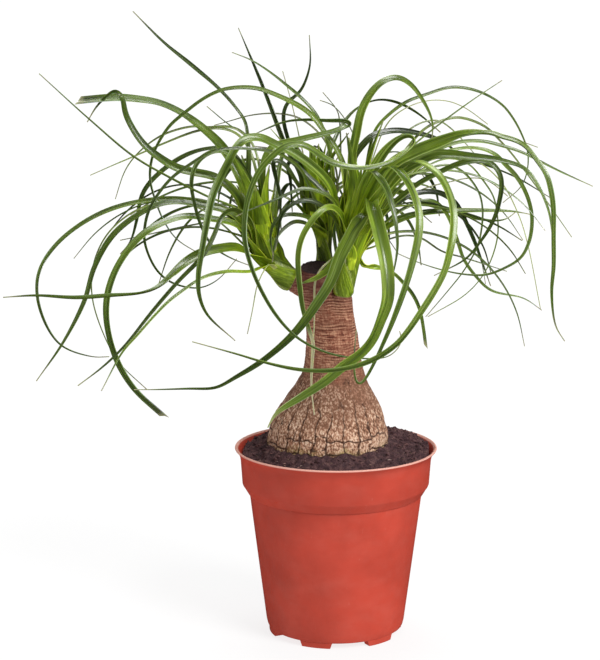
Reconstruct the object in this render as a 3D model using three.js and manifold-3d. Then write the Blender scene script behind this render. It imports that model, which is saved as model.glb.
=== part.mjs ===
// A young ponytail palm in its nursery pot: a swollen, cork-plated trunk with a cut top, three leafy
// shoots of long arching leaves, peat soil, and a thin plastic pot on six feet.
// Millimetres, +Z up. The origin is on the pot's axis, on the surface that the pot stands on, and -Y is
// the side that the photograph shows.
import * as THREE from 'three';
import { mergeVertices } from 'three/addons/utils/BufferGeometryUtils.js';
import Module from 'manifold-3d';

// Pot
const POT_HEIGHT = 131.5;
const RIM_RADIUS = 70;
const BAND_RADIUS = 66;
const BAND_FOOT_RADIUS = 64.8;
const STEP_TOP = 106;
const STEP_FOOT = 98.9;
const STEP_FOOT_RADIUS = 59.9;
const WALL_FOOT_RADIUS = 48.3;
const WALL = 1.2;
const LIP_HEIGHT = 9;
const FLOOR = 1.4;
const POT_SIDES = 40;
const FOOT_HEIGHT = 3.8;
const FOOT_COUNT = 6;
const FOOT_TURN = THREE.MathUtils.degToRad(-107.8);
const FOOT_RING = { inner: 40, outer: 46.6 };
const FOOT_WIDTH = { low: 20.5, high: 23.5 };
const PAD_RADIUS = 8;
const PAD_SIDES = 24;
const DRAIN_RADIUS = 4;
const DRAIN_RING = 27;
const DRAIN_COUNT = 6;

// Soil
const SEAT_GAP = 0.3;
const SOIL_LEVEL = 126.4;
const SOIL_MOUND = 5;
const SOIL_LUMP = 0.9;
const SOIL_RINGS = 4;
const SOIL_HEAP = { x: 40, y: 36, height: 3.2, spread: 17 };

// Trunk: height, radius, and how far its centre lies from the pot's axis
const TRUNK_ROUTE = [
  [102, 9, -6], [103.5, 21, -6], [108, 31, -6], [116, 38, -6], [125, 40.6, -6], [132, 41.4, -6.2],
  [141, 41, -5.7], [150, 38.8, -5.2], [159.5, 35, -4.1], [168, 30.4, -3.4], [175.5, 25.4, -2.7],
  [184, 21.4, -1.8], [192, 19.6, -1.8], [200, 18.6, -2.2], [210, 17.5, -3], [217, 17, -3.8],
  [224, 16.6, -5.2], [232, 15.4, -8.2], [238, 13.4, -10.8], [243, 12.2, -12.2], [249, 11.6, -13],
  [257, 11.2, -13.4],
];
const TRUNK_SIDES = 36;
const TRUNK_LEVELS = 33;
const CUT_SLOPE = 0.27;
const CUT_START = 228;
const PLATE_DEPTH = 1;
const PLATE_TOP = { low: 158, high: 186 };
const RING_DEPTH = 0.35;
const RING_START = { low: 176, high: 192 };
const STUB_SIDES = 14;

// The three stubs, each from inside the neck to the flat face that its shoot grows from: x, y, z, radius
const STUBS = {
  left_shoot: [[-13, 0, 229, 9], [-23, -1, 239.5, 9.6], [-30.5, -1.5, 247, 9]],
  right_shoot: [[-3, -4, 216, 8], [4, -7, 231, 8.2], [5.6, -8, 239, 7.2]],
  middle_shoot: [[-10, 3, 233, 8], [-8.5, 12, 246, 6.6], [-8, 17, 254, 5.6]],
};

// The leafy stems above the stubs, drawn on from each stub's face: x, y, z, radius
const STEMS = {
  left_shoot: [[-36, -2, 253, 8.6], [-43.5, -2.5, 262.5, 9.4], [-48, -3, 273, 10], [-51, -3, 284, 8]],
  right_shoot: [[7.6, -8.6, 254, 6.8], [9.5, -9, 268, 8], [11.5, -10, 284, 10.5], [13, -10, 299, 9]],
  middle_shoot: [[-8, 18.5, 266, 5.4], [-9, 19.5, 279, 7], [-12, 20, 292, 8.6], [-13.5, 20, 303, 7]],
};
const STEM_SIDES = 10;
const STALK_FOOT = 2;

// Where the photograph was taken from, in mm, with its pitch, and its focal length and middle in pixels
const EYE = new THREE.Vector3(-24.8, -1400, 476.8);
const EYE_PITCH = THREE.MathUtils.degToRad(10.66);
const EYE_FOCAL = 2075;
const EYE_MIDDLE = { x: 300, y: 330 };

// Leaves: a name; the laid-flat width in mm; how far the upper face leans towards the photograph's side,
// in degrees, at even steps from root to tip; and the route after the root, each point as seen in the
// photograph, in pixels across and down, with its depth behind the pot's axis in mm. A cut leaf has lost
// its tip. Each list runs from the lowest leaf on its stem to the highest.
const LEFT_LEAVES = [
  ['hair_left', 2.5, [30, 30], [
    [264, 270, -40], [257, 285, -46], [252, 311, -50], [247, 334, -52]
  ]],
  ['low_drop_twin', 6, [30, 40, 40, 50, 50], [
    [250, 271, -28], [226, 271, -42], [203, 277, -54], [184, 289, -64], [166, 303, -74],
    [135, 337, -90], [122, 352, -94], [101, 391, -102]
  ]],
  ['level_spear', 8.5, [30, 60, 80, 20, 45, 40, 40], [
    [239, 247, -24], [220, 248, -34], [203, 252, -42], [185, 262, -52], [163, 282, -62],
    [153, 288, -68], [138, 292, -74], [107, 295, -84], [76, 297, -92], [36, 295, -104], [3, 297, -114]
  ]],
  ['cropped_hoop', 8.5, [30, 45, 50, 45, 45], [
    [240, 226, -14], [210, 218, -22], [182, 216, -30], [145, 232, -42], [120, 261, -50],
    [108, 290, -56], [106, 319, -60], [115, 357, -64], [134, 389, -66], [164, 417, -66]
  ], 'cut'],
  ['wide_hoop', 7.5, [30, 40, 45, 40, 30], [
    [227, 213, 6], [187, 199, 10], [134, 202, 12], [92, 217, 8], [56, 244, 0], [38, 274, -11],
    [39, 307, -22], [59, 344, -36], [92, 357, -48], [109, 357, -54]
  ]],
  ['grey_thread', 3, [30, 40, 40], [
    [230, 218, 16], [201, 223, 24], [175, 228, 30], [149, 234, 36], [120, 240, 42]
  ]],
  ['high_spear', 9, [30, 60, 10, 55, 50], [
    [250, 196, -6], [249, 150, -4], [246, 122, 2], [237, 108, 11], [219, 88, 22], [191, 64, 32],
    [164, 42, 40], [133, 11, 48]
  ]],
  ['left_thread', 3, [30, 40, 40], [
    [200, 208, 0], [160, 203, 2], [134, 211, 4], [107, 234, 6], [93, 265, 8], [92, 298, 10],
    [104, 336, 14], [119, 363, 16], [147, 390, 18]
  ]],
  ['left_sickle', 8, [30, 35, 50, 55, 50], [
    [236, 216, -10], [201, 205, -16], [175, 201, -20], [153, 206, -24], [115, 232, -30],
    [94, 267, -36], [84, 301, -40], [63, 342, -46], [36, 381, -52]
  ]],
  ['low_drop', 7, [30, 50, 50, 45, 60], [
    [246, 216, -24], [232, 210, -34], [222, 217, -42], [214, 236, -48], [203, 256, -54],
    [178, 282, -62], [153, 311, -70], [124, 347, -80], [103, 367, -86], [78, 386, -92]
  ]],
  ['needle_left', 4.5, [30, 40, 40], [
    [238, 211, -16], [208, 197, -24], [172, 179, -32], [134, 157, -40], [92, 122, -52], [39, 74, -68]
  ]],
  ['hooked_strap', 8.5, [40, 60, 60, 55, 50], [
    [238, 196, -4], [216, 177, -6], [191, 171, -4], [176, 167, 0], [158, 156, 4], [145, 145, 6],
    [134, 130, 8], [126, 114, 9], [122, 96, 4], [115, 91, 10], [104, 98, 22], [95, 108, 22],
    [87, 122, 20]
  ]],
  ['thread_sweep', 4.2, [30, 40, 40, 30], [
    [260, 186, 12], [250, 150, 18], [238, 134, 22], [222, 128, 24], [199, 130, 26], [159, 145, 30],
    [134, 156, 32], [115, 164, 33], [90, 175, 34]
  ]],
  ['dark_hoop', 9, [30, 20, 30, 70, 70], [
    [252, 186, 16], [240, 160, 22], [226, 148, 26], [207, 148, 30], [187, 154, 32], [166, 167, 34],
    [149, 183, 35], [141, 197, 36], [137, 218, 37], [130, 242, 39], [120, 254, 40]
  ]],
  ['thread_hoop', 4.5, [30, 40, 40, 30], [
    [262, 180, 18], [254, 146, 26], [240, 130, 32], [226, 126, 36], [209, 127, 40], [192, 126, 44],
    [166, 133, 48], [149, 143, 52], [133, 158, 56], [124, 172, 58], [115, 199, 60]
  ]],
  ['cropped_strap', 9.5, [40, 70, 60, 35, 50, 45], [
    [240, 176, 8], [222, 146, 15], [206, 130, 21], [183, 113, 25], [159, 102, 27], [134, 98, 26],
    [115, 97, 24], [78, 100, 20]
  ], 'cut'],
  ['inner_curl', 6, [30, 50, 60, 50, 40], [
    [252, 186, -6], [238, 160, -10], [220, 150, -14], [203, 156, -18], [194, 168, -22],
    [191, 184, -25], [194, 203, -28], [200, 224, -30], [212, 246, -32], [230, 258, -33], [250, 266, -34]
  ]],
  ['turned_back', 6.5, [30, 60, 60, 40, 40], [
    [262, 175, -4], [270, 148, -6], [300, 139, -6], [333, 131, -4], [345, 126, -2], [350, 124, 2],
    [345, 121, 6], [330, 121, 8], [304, 120, 10], [285, 122, 12], [262, 131, 14], [250, 137, 14]
  ]],
  ['tip_left', 3.2, [30, 40, 40], [
    [262, 170, 24], [250, 140, 32], [226, 122, 38], [207, 106, 42]
  ]],
];

const MIDDLE_LEAVES = [
  ['heart_curl_low', 6.5, [20, 40, 50], [
    [316, 228, 0], [307, 223, -3], [295, 221, -8], [285, 227, -14], [278, 235, -19], [274, 245, -22],
    [272, 262, -23]
  ]],
  ['heart_curl', 6.5, [20, 50, 50], [
    [322, 226, -4], [309, 217, -10], [295, 214, -16], [283, 215, -20], [275, 220, -22],
    [271, 230, -24], [270, 240, -25], [273, 256, -24]
  ]],
  ['spiral', 6, [20, 30, 30, 40, 40, 30], [
    [314, 196, -14], [300, 168, -26], [285, 156, -34], [266, 150, -42], [247, 148, -47],
    [228, 148, -50], [212, 151, -51], [187, 166, -50], [171, 178, -48], [157, 195, -46],
    [149, 209, -42], [145, 223, -37], [144, 240, -33], [149, 257, -30], [157, 271, -28],
    [168, 281, -27], [184, 287, -26], [201, 288, -26], [218, 280, -26], [237, 259, -26]
  ]],
  ['grey_arc', 3.2, [20, 30, 30], [
    [338, 180, 20], [325, 140, 28], [300, 118, 34], [276, 113, 38], [250, 115, 42], [232, 120, 44],
    [214, 125, 46]
  ]],
  ['crossing_needle', 5, [20, 40, 40, 30], [
    [334, 190, 14], [330, 150, 12], [317, 115, 12], [300, 96, 14], [287, 85, 18], [272, 73, 24],
    [252, 60, 30], [232, 52, 36]
  ]],
  ['hook_top', 5.5, [20, 40, 60, 30], [
    [302, 180, 26], [288, 140, 32], [283, 116, 36], [287, 103, 38], [300, 91, 40], [307, 76, 42],
    [310, 62, 44], [309, 35, 48]
  ]],
  ['back_thread_low', 3, [20, 30, 30], [
    [352, 180, 18], [357, 145, 22], [346, 120, 28], [333, 105, 32], [320, 100, 36]
  ]],
  ['needle_back', 6, [20, 50, 60, 30], [
    [300, 175, 20], [286, 148, 24], [279, 130, 27], [264, 90, 36], [252, 61, 44], [238, 28, 54]
  ]],
  ['back_thread', 3, [20, 30, 30], [
    [340, 175, 26], [341, 149, 30], [340, 122, 34], [338, 111, 36], [323, 92, 40]
  ]],
  ['dark_fold', 6, [20, 50, 60], [
    [298, 184, 0], [284, 163, -2], [273, 160, -4], [276, 179, -6], [280, 196, -8], [280, 213, -9],
    [281, 232, -10]
  ]],
  ['back_hair', 2.5, [20, 30, 30], [
    [306, 165, 34], [299, 134, 40], [293, 107, 46], [283, 71, 54]
  ]],
  ['dark_fold_twin', 5.5, [20, 50, 50], [
    [308, 178, 8], [296, 160, 9], [287, 163, 9], [290, 178, 9], [291, 196, 8], [292, 212, 6]
  ]],
];

const RIGHT_LEAVES = [
  ['cropped_drop', 6.5, [10, 50, 50], [
    [362, 266, -8], [379, 267, -4], [394, 273, 0], [403, 282, 2], [413, 294, 4], [420, 309, 6],
    [424, 330, 7], [426, 346, 7]
  ], 'cut'],
  ['pale_thread', 2.5, [20, 50, 50], [
    [323, 266, -36], [315, 280, -41], [314, 298, -42], [314, 320, -43], [313, 342, -44]
  ]],
  ['neck_strap', 7, [20, 60, 70], [
    [343, 248, -26], [336, 257, -31], [328, 270, -33], [317, 278, -31], [306, 282, -28], [300, 284, -26]
  ]],
  ['low_thread', 3.2, [10, 40, 40], [
    [375, 246, 6], [388, 239, 10], [407, 235, 14], [422, 238, 18], [442, 251, 22], [463, 257, 26],
    [507, 271, 34]
  ]],
  ['level_strap', 7, [10, 50, 50, 40], [
    [375, 234, 8], [396, 221, 14], [415, 214, 20], [434, 211, 26], [463, 210, 34], [491, 210, 42],
    [514, 211, 48], [530, 214, 52]
  ]],
  ['right_drop', 6.5, [10, 40, 50, 40], [
    [385, 222, 6], [410, 205, 14], [432, 200, 20], [446, 212, 26], [457, 238, 32], [464, 259, 36],
    [476, 276, 40], [491, 290, 44], [524, 298, 52], [542, 310, 56]
  ]],
  ['bright_slip', 8, [10, 60, 60, 40], [
    [378, 206, 16], [392, 190, 22], [401, 193, 28], [422, 202, 36], [449, 210, 44], [478, 219, 51],
    [497, 221, 54], [507, 219, 56], [516, 212, 58]
  ]],
  ['dark_hook', 9.5, [10, 20, 20, 60, 60, 45, 30], [
    [384, 206, -4], [410, 176, 0], [432, 157, 4], [458, 148, 6], [481, 148, 8], [497, 155, 10],
    [505, 164, 11], [515, 174, 12], [523, 186, 12], [529, 200, 12], [532, 214, 12], [532, 228, 11],
    [529, 243, 10], [521, 258, 8], [501, 270, 4], [486, 275, 2], [468, 275, 0], [449, 272, -2],
    [419, 263, -6], [398, 254, -8]
  ]],
  ['silver_bend', 8, [10, 40, 50, 60, 60, 50, 30], [
    [384, 212, -12], [405, 193, -14], [420, 182, -15], [437, 173, -17], [454, 165, -18],
    [468, 161, -20], [480, 160, -21], [490, 162, -22], [497, 168, -23], [501, 176, -24],
    [502, 187, -24], [500, 199, -24], [497, 212, -24], [491, 226, -23], [482, 240, -22],
    [466, 259, -20], [434, 276, -18]
  ]],
  ['right_drop_dark', 7.5, [10, 50, 60, 50], [
    [385, 212, 14], [412, 194, 22], [438, 192, 30], [455, 202, 36], [464, 217, 40], [472, 235, 44],
    [478, 250, 47], [491, 286, 53]
  ]],
  ['far_hair', 2.8, [10, 40, 40], [
    [396, 205, 30], [425, 188, 38], [452, 181, 44], [466, 178, 48], [480, 178, 52], [491, 182, 55],
    [508, 196, 60]
  ]],
  ['under_arch_low', 6.5, [20, 40, 50, 40], [
    [336, 218, -26], [328, 210, -28], [314, 201, -31], [302, 200, -33], [289, 206, -35],
    [281, 216, -36], [278, 232, -36], [275, 250, -36]
  ]],
  ['hanging_strip', 7, [20, 60, 60, 60, 40], [
    [342, 214, -30], [330, 206, -36], [318, 213, -42], [303, 234, -45], [298, 252, -45],
    [298, 270, -44], [300, 290, -42], [303, 311, -40], [312, 340, -38], [312, 359, -38],
    [311, 387, -44], [314, 415, -52]
  ]],
  ['broad_level', 12, [10, 50, 55, 50, 40, 40], [
    [380, 196, -18], [400, 172, -22], [415, 163, -26], [434, 154, -30], [453, 154, -34],
    [472, 156, -38], [491, 158, -41], [506, 161, -44], [520, 165, -46], [529, 171, -48],
    [537, 182, -50], [544, 196, -52], [550, 214, -54], [552, 228, -55], [554, 250, -56]
  ]],
  ['front_strap', 11.5, [10, 20, 10, 10, 20, 50, 60, 60], [
    [360, 214, -44], [366, 203, -56], [372, 207, -66], [376, 220, -74], [381, 236, -80],
    [385, 254, -86], [388, 277, -92], [388, 300, -96], [382, 319, -99], [373, 340, -101],
    [361, 354, -102], [344, 366, -102], [325, 382, -101], [300, 398, -99], [276, 414, -96],
    [268, 428, -95]
  ]],
  ['trunk_crosser', 9, [10, 30, 20, 20, 30, 40, 40], [
    [368, 218, -42], [367, 212, -49], [357, 224, -56], [349, 239, -60], [341, 254, -63],
    [330, 283, -66], [318, 302, -68], [296, 332, -71], [264, 360, -73], [235, 378, -74],
    [216, 388, -75], [188, 389, -76], [153, 390, -77], [134, 390, -78]
  ]],
  ['thin_bow', 4.5, [10, 40, 40, 30], [
    [384, 204, -8], [412, 176, -6], [440, 165, -4], [451, 165, -2], [464, 172, 0], [473, 182, 2],
    [480, 194, 4], [483, 210, 6], [482, 228, 8], [478, 246, 8], [464, 271, 8], [449, 290, 6],
    [426, 317, 2]
  ]],
  ['dark_band', 8, [20, 50, 50], [
    [334, 205, -4], [319, 186, -2], [304, 172, 0], [290, 160, 2], [272, 149, 4], [255, 146, 5]
  ]],
  ['broad_twist', 13, [10, 60, 60, 50, 5, 50, 50, 50, 45, 40], [
    [374, 192, -24], [392, 164, -30], [415, 151, -36], [438, 142, -42], [459, 134, -48],
    [478, 131, -53], [493, 132, -57], [503, 136, -60], [512, 138, -62], [526, 145, -66],
    [537, 159, -69], [547, 174, -72], [552, 193, -74], [554, 210, -75], [554, 238, -76],
    [554, 267, -76], [552, 292, -76], [556, 326, -74], [565, 341, -72]
  ]],
  ['front_scythe', 11.5, [10, 20, 25, 30, 40, 50, 50, 50], [
    [380, 192, -44], [400, 168, -56], [415, 160, -64], [432, 168, -74], [442, 178, -81],
    [451, 197, -89], [454, 212, -95], [454, 229, -100], [451, 248, -105], [445, 271, -109],
    [434, 292, -112], [422, 311, -114], [409, 330, -116], [396, 345, -116], [371, 361, -115],
    [338, 370, -112], [300, 370, -108], [262, 362, -104], [239, 355, -102], [192, 342, -98]
  ]],
  ['right_spear', 6, [10, 40, 40, 40], [
    [386, 196, 4], [412, 168, 8], [440, 148, 10], [462, 141, 12], [484, 141, 14], [501, 145, 16],
    [520, 151, 18], [558, 170, 24], [593, 186, 32]
  ]],
  ['folded_drop', 10, [20, 60, 50, 60, 60, 40], [
    [336, 200, -14], [330, 184, -14], [314, 167, -16], [293, 152, -19], [276, 144, -22],
    [261, 137, -26], [246, 138, -30], [236, 147, -34], [228, 162, -38], [221, 175, -40],
    [212, 196, -46], [207, 220, -53], [201, 254, -62], [198, 276, -66], [199, 296, -67],
    [207, 315, -66], [235, 341, -64]
  ]],
  ['thin_bow_far', 4.5, [10, 40, 40, 30], [
    [390, 196, 24], [420, 170, 32], [448, 158, 38], [469, 164, 42], [484, 181, 46], [494, 197, 49],
    [498, 218, 51], [498, 236, 52], [491, 261, 51], [480, 280, 49], [464, 296, 46], [428, 317, 40]
  ]],
  ['under_arch', 5.5, [20, 40, 40, 30], [
    [338, 205, -24], [328, 195, -27], [304, 188, -32], [287, 194, -36], [266, 203, -40],
    [251, 209, -42], [236, 216, -44]
  ]],
  ['long_sweep', 10, [20, 60, 80, 15, 25, 50, 60, 60, 60, 55, 50, 45, 40, 40], [
    [364, 190, -26], [374, 168, -30], [386, 150, -34], [400, 138, -38], [410, 136, -42],
    [414, 141, -46], [405, 151, -52], [390, 161, -56], [368, 167, -60], [347, 166, -64],
    [328, 160, -67], [314, 150, -70], [302, 144, -72], [285, 146, -74], [271, 157, -76],
    [259, 171, -78], [251, 188, -80], [246, 206, -82], [244, 225, -84], [245, 244, -86],
    [256, 280, -90], [277, 317, -92], [300, 340, -92], [334, 355, -89], [371, 359, -85],
    [388, 357, -83], [398, 349, -80], [402, 340, -77], [400, 331, -74]
  ]],
  ['tall_arch', 10.5, [10, 50, 60, 50, 40, 40], [
    [351, 190, -8], [352, 153, -4], [356, 134, -2], [361, 111, 2], [371, 92, 6], [384, 80, 10],
    [398, 77, 14], [411, 84, 18], [422, 98, 22], [430, 113, 26], [433, 124, 28], [432, 143, 30]
  ]],
  ['hair_drop', 2.5, [10, 30, 30], [
    [395, 186, 36], [430, 160, 46], [470, 158, 56], [500, 180, 64], [519, 215, 70], [528, 244, 73],
    [541, 310, 76]
  ]],
  ['high_hoop', 7, [20, 60, 60, 40, 40, 40, 30], [
    [347, 180, -2], [338, 151, 2], [325, 132, 4], [312, 115, 6], [300, 106, 8], [280, 96, 10],
    [258, 88, 12], [237, 87, 13], [220, 90, 14], [202, 99, 15], [185, 112, 16], [169, 126, 16],
    [154, 151, 14], [150, 167, 12], [150, 182, 10], [155, 200, 6], [163, 220, 2], [176, 239, -2],
    [199, 254, -6]
  ]],
  ['front_bow', 9.5, [10, 30, 40, 40, 30, 30, 30], [
    [372, 186, -40], [384, 168, -50], [394, 166, -58], [405, 177, -68], [413, 191, -75],
    [418, 206, -81], [420, 220, -86], [419, 235, -90], [415, 254, -94], [409, 276, -98],
    [401, 300, -101], [392, 324, -103], [382, 347, -104], [373, 366, -104], [365, 380, -104],
    [360, 385, -104], [356, 382, -101], [354, 372, -98], [354, 353, -96], [356, 330, -95]
  ]],
  ['outer_thread', 5.5, [10, 40, 50, 30, 30], [
    [384, 180, 16], [405, 150, 22], [425, 128, 28], [442, 120, 32], [457, 117, 36], [472, 120, 40],
    [488, 128, 44], [497, 137, 47], [510, 151, 50], [535, 184, 58], [547, 201, 62], [572, 237, 68]
  ]],
  ['right_hoop', 6.5, [10, 40, 45, 35, 30], [
    [364, 180, 10], [370, 145, 16], [376, 128, 20], [390, 113, 24], [407, 101, 27], [426, 94, 30],
    [449, 87, 34], [468, 88, 38], [486, 94, 42], [503, 105, 46], [514, 119, 50], [522, 134, 53],
    [528, 151, 56], [528, 168, 58], [522, 186, 60], [503, 203, 60]
  ]],
  ['hair_tip', 2.5, [10, 30, 30], [
    [385, 178, 26], [410, 152, 34], [440, 136, 42], [470, 129, 50], [500, 134, 58], [538, 147, 66]
  ]],
  ['front_bow_thin', 7, [10, 30, 30, 20], [
    [362, 186, -42], [371, 170, -52], [381, 179, -62], [388, 191, -68], [391, 201, -72],
    [395, 215, -76], [397, 230, -79], [398, 245, -81], [396, 262, -83], [389, 292, -84]
  ]],
  ['grey_bow', 4.2, [10, 40, 40], [
    [376, 170, 22], [392, 143, 28], [411, 128, 34], [422, 122, 38], [438, 120, 42], [451, 128, 46],
    [463, 140, 50], [480, 160, 56]
  ]],
  ['hair_arc', 2.5, [10, 30, 30], [
    [372, 160, 32], [388, 122, 40], [407, 107, 46], [430, 100, 52], [449, 101, 56], [466, 108, 60],
    [488, 124, 66]
  ]],
  ['needle_right', 4, [10, 40, 40], [
    [380, 182, 6], [400, 157, 12], [434, 128, 20], [472, 100, 30], [502, 80, 38]
  ]],
  ['dark_arch', 9, [10, 50, 50, 50], [
    [352, 180, 6], [353, 158, 8], [363, 144, 10], [371, 136, 12], [386, 131, 16], [400, 130, 20],
    [419, 133, 26], [434, 137, 30], [446, 143, 34], [455, 151, 37], [464, 163, 40]
  ]],
];


// Leaf section: shares of the laid-flat width, and sizes in mm
const FOLDED_SHARE = 0.76;
const CHANNEL_SHARE = 0.16;
const RIB = 1.15;
const TIP_WIDTH = 1.5;
const THREAD_WIDTH = 4.6;
const ROOT_SHARE = 1.35;
const TAPER_START = 0.5;
const CUT_SHARE = 0.75;
const BEND_STEP = 58;
const TURN_STEP = THREE.MathUtils.degToRad(38);
const ROOT_RISE = { low: 0.29, high: 0.86 };

// The leaves that the photograph hides, placed by rule round each stem: how many, the bearing that they
// fan about and how widely, how long they are and how steeply they start
const HIDDEN_LEAVES = {
  left_shoot: { count: 13, bearing: 118, fan: 136, length: [140, 240], start: [40, 78] },
  right_shoot: { count: 15, bearing: 66, fan: 132, length: [140, 240], start: [38, 80] },
  middle_shoot: { count: 18, bearing: 90, fan: 220, length: [150, 255], start: [35, 80] },
};
const HIDDEN_WIDTH = [5, 9];
const HIDDEN_DROOP = [35, 88];
const LOWEST_TIP = 150;
const GOLDEN_TURN = 137.508;

const COLOURS = {
  pot: { color: 0xc85038, roughness: 0.45, metalness: 0 },
  soil: { color: 0x46322f, roughness: 1, metalness: 0 },
  trunk: { color: 0x8f755a, roughness: 0.9, metalness: 0 },
  left_shoot: { color: 0x4c7a35, roughness: 0.45, metalness: 0 },
  right_shoot: { color: 0x55843a, roughness: 0.45, metalness: 0 },
  middle_shoot: { color: 0x3f6a30, roughness: 0.45, metalness: 0 },
};

const SMALLEST_EDGE = 0.03;

const wasm = await Module();
wasm.setup();
const { lerp, smoothstep, degToRad, clamp } = THREE.MathUtils;

function solid(geometry) {
  const bare = geometry.index ? geometry : geometry.clone();
  bare.deleteAttribute('normal');
  bare.deleteAttribute('uv');
  const merged = mergeVertices(bare, 1e-4);
  const mesh = new wasm.Mesh({
    numProp: 3,
    vertProperties: new Float32Array(merged.attributes.position.array),
    triVerts: new Uint32Array(merged.index.array),
  });
  return new wasm.Manifold(mesh);
}

function surface(body) {
  const { vertProperties, triVerts } = body.getMesh();
  const geometry = new THREE.BufferGeometry();
  geometry.setAttribute('position', new THREE.BufferAttribute(vertProperties, 3));
  geometry.setIndex(new THREE.BufferAttribute(triVerts, 1));
  geometry.computeVertexNormals();
  return geometry;
}

// A closed skin over rings of points, each turning anticlockwise seen from the far end. Neighbouring
// strips are split by opposite diagonals, so the two faces of a thin blade are split alike.
function loft(rings) {
  const sides = rings[0].length;
  const corners = rings.flat().flatMap((point) => point.toArray());
  const faces = [];
  for (let i = 0; i < rings.length - 1; i += 1) {
    for (let j = 0; j < sides; j += 1) {
      const a = i * sides + j;
      const b = i * sides + ((j + 1) % sides);
      const c = b + sides;
      const d = a + sides;
      faces.push(...(j % 2 ? [a, b, d, b, c, d] : [a, b, c, a, c, d]));
    }
  }
  const last = (rings.length - 1) * sides;
  for (let j = 1; j < sides - 1; j += 1) {
    faces.push(0, j + 1, j, last, last + j, last + j + 1);
  }
  const geometry = new THREE.BufferGeometry();
  geometry.setAttribute('position', new THREE.Float32BufferAttribute(corners, 3));
  geometry.setIndex(faces);
  return geometry;
}

// A round stem through points of x, y, z and radius, with flat ends
function stem(points, sides) {
  const centres = points.map(([x, y, z]) => new THREE.Vector3(x, y, z));
  const rings = centres.map((centre, i) => {
    const ahead = centres[Math.min(i + 1, centres.length - 1)];
    const behind = centres[Math.max(i - 1, 0)];
    const along = ahead.clone().sub(behind).normalize();
    const turn = new THREE.Quaternion().setFromUnitVectors(new THREE.Vector3(0, 0, 1), along);
    return Array.from({ length: sides }, (_, j) => {
      const angle = (2 * Math.PI * j) / sides;
      const spoke = new THREE.Vector3(Math.cos(angle), Math.sin(angle), 0).multiplyScalar(points[i][3]);
      return spoke.applyQuaternion(turn).add(centre);
    });
  });
  return solid(loft(rings));
}

function lathe(profile, sides) {
  return new THREE.LatheGeometry(profile.map(([r, z]) => new THREE.Vector2(r, z)), sides).rotateX(Math.PI / 2);
}

// The pot's inner wall, from its foot to where the lip flares out: radius, height
const INNER_WALL = [
  [WALL_FOOT_RADIUS - WALL, FOOT_HEIGHT + 5], [STEP_FOOT_RADIUS - WALL, STEP_FOOT + 0.6],
  [BAND_FOOT_RADIUS - WALL, STEP_TOP + 0.6], [BAND_RADIUS - WALL, POT_HEIGHT - LIP_HEIGHT],
];

function makePot() {
  const floorTop = FOOT_HEIGHT + FLOOR;
  const shell = solid(lathe([
    [0, FOOT_HEIGHT], [FOOT_RING.outer - 0.4, FOOT_HEIGHT], [WALL_FOOT_RADIUS - 0.8, FOOT_HEIGHT + 1.6],
    [WALL_FOOT_RADIUS, FOOT_HEIGHT + 4.8], [STEP_FOOT_RADIUS, STEP_FOOT], [BAND_FOOT_RADIUS, STEP_TOP],
    [BAND_RADIUS, POT_HEIGHT - LIP_HEIGHT], [RIM_RADIUS - 2.8, POT_HEIGHT - 4],
    [RIM_RADIUS - 0.2, POT_HEIGHT - 1.2], [RIM_RADIUS - 0.2, POT_HEIGHT - 0.3],
    [RIM_RADIUS - 1, POT_HEIGHT], [RIM_RADIUS - 4, POT_HEIGHT - 3.2],
    ...INNER_WALL.toReversed(), [WALL_FOOT_RADIUS - 3, floorTop], [0, floorTop],
  ], POT_SIDES));
  const footRing = solid(lathe([
    [FOOT_RING.inner, 0], [FOOT_RING.outer - 0.3, 0], [FOOT_RING.outer, FOOT_HEIGHT + 0.5],
    [FOOT_RING.inner, FOOT_HEIGHT + 0.5], [FOOT_RING.inner, 0],
  ], POT_SIDES));
  const footOutline = new THREE.Shape([
    new THREE.Vector2(-FOOT_WIDTH.low / 2, -1), new THREE.Vector2(FOOT_WIDTH.low / 2, -1),
    new THREE.Vector2(FOOT_WIDTH.high / 2, FOOT_HEIGHT + 1),
    new THREE.Vector2(-FOOT_WIDTH.high / 2, FOOT_HEIGHT + 1),
  ]);
  const wedge = new THREE.ExtrudeGeometry(footOutline, { depth: FOOT_RING.outer + 5, bevelEnabled: false });
  wedge.rotateX(Math.PI / 2).rotateZ(Math.PI / 2);
  const wedges = [];
  for (let i = 0; i < FOOT_COUNT; i += 1) {
    const turned = wedge.clone().rotateZ(FOOT_TURN + (2 * Math.PI * i) / FOOT_COUNT);
    wedges.push(footRing.intersect(solid(turned)));
  }
  const padTop = FOOT_HEIGHT + 0.5;
  const pad = solid(lathe([[0, 0], [PAD_RADIUS, 0], [PAD_RADIUS, padTop], [0, padTop]], PAD_SIDES));
  const drains = [];
  for (let i = 0; i < DRAIN_COUNT; i += 1) {
    const angle = FOOT_TURN + (2 * Math.PI * (i + 0.5)) / DRAIN_COUNT;
    const drain = new THREE.CylinderGeometry(DRAIN_RADIUS, DRAIN_RADIUS, 4 * FLOOR, 10).rotateX(Math.PI / 2);
    drain.translate(DRAIN_RING * Math.cos(angle), DRAIN_RING * Math.sin(angle), FOOT_HEIGHT + FLOOR / 2);
    drains.push(solid(drain));
  }
  return wasm.Manifold.union([shell, pad, ...wedges]).subtract(wasm.Manifold.union(drains));
}

const trunkCurve = new THREE.CatmullRomCurve3(
  TRUNK_ROUTE.map(([height, radius, lean]) => new THREE.Vector3(lean, radius, height)),
);

// Cork plates on the bulb, split by upright furrows and staggered cross cracks
function plateRelief(column, level, height) {
  const fade = 1 - smoothstep(height, PLATE_TOP.low, PLATE_TOP.high);
  const furrow = column % 2 ? 1 : 0.15 * Math.sin(column * 2.3 + level);
  const crack = (level + (column >> 1) * 2) % 3 ? 0 : 0.8;
  return -PLATE_DEPTH * fade * Math.max(furrow, crack);
}

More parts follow.
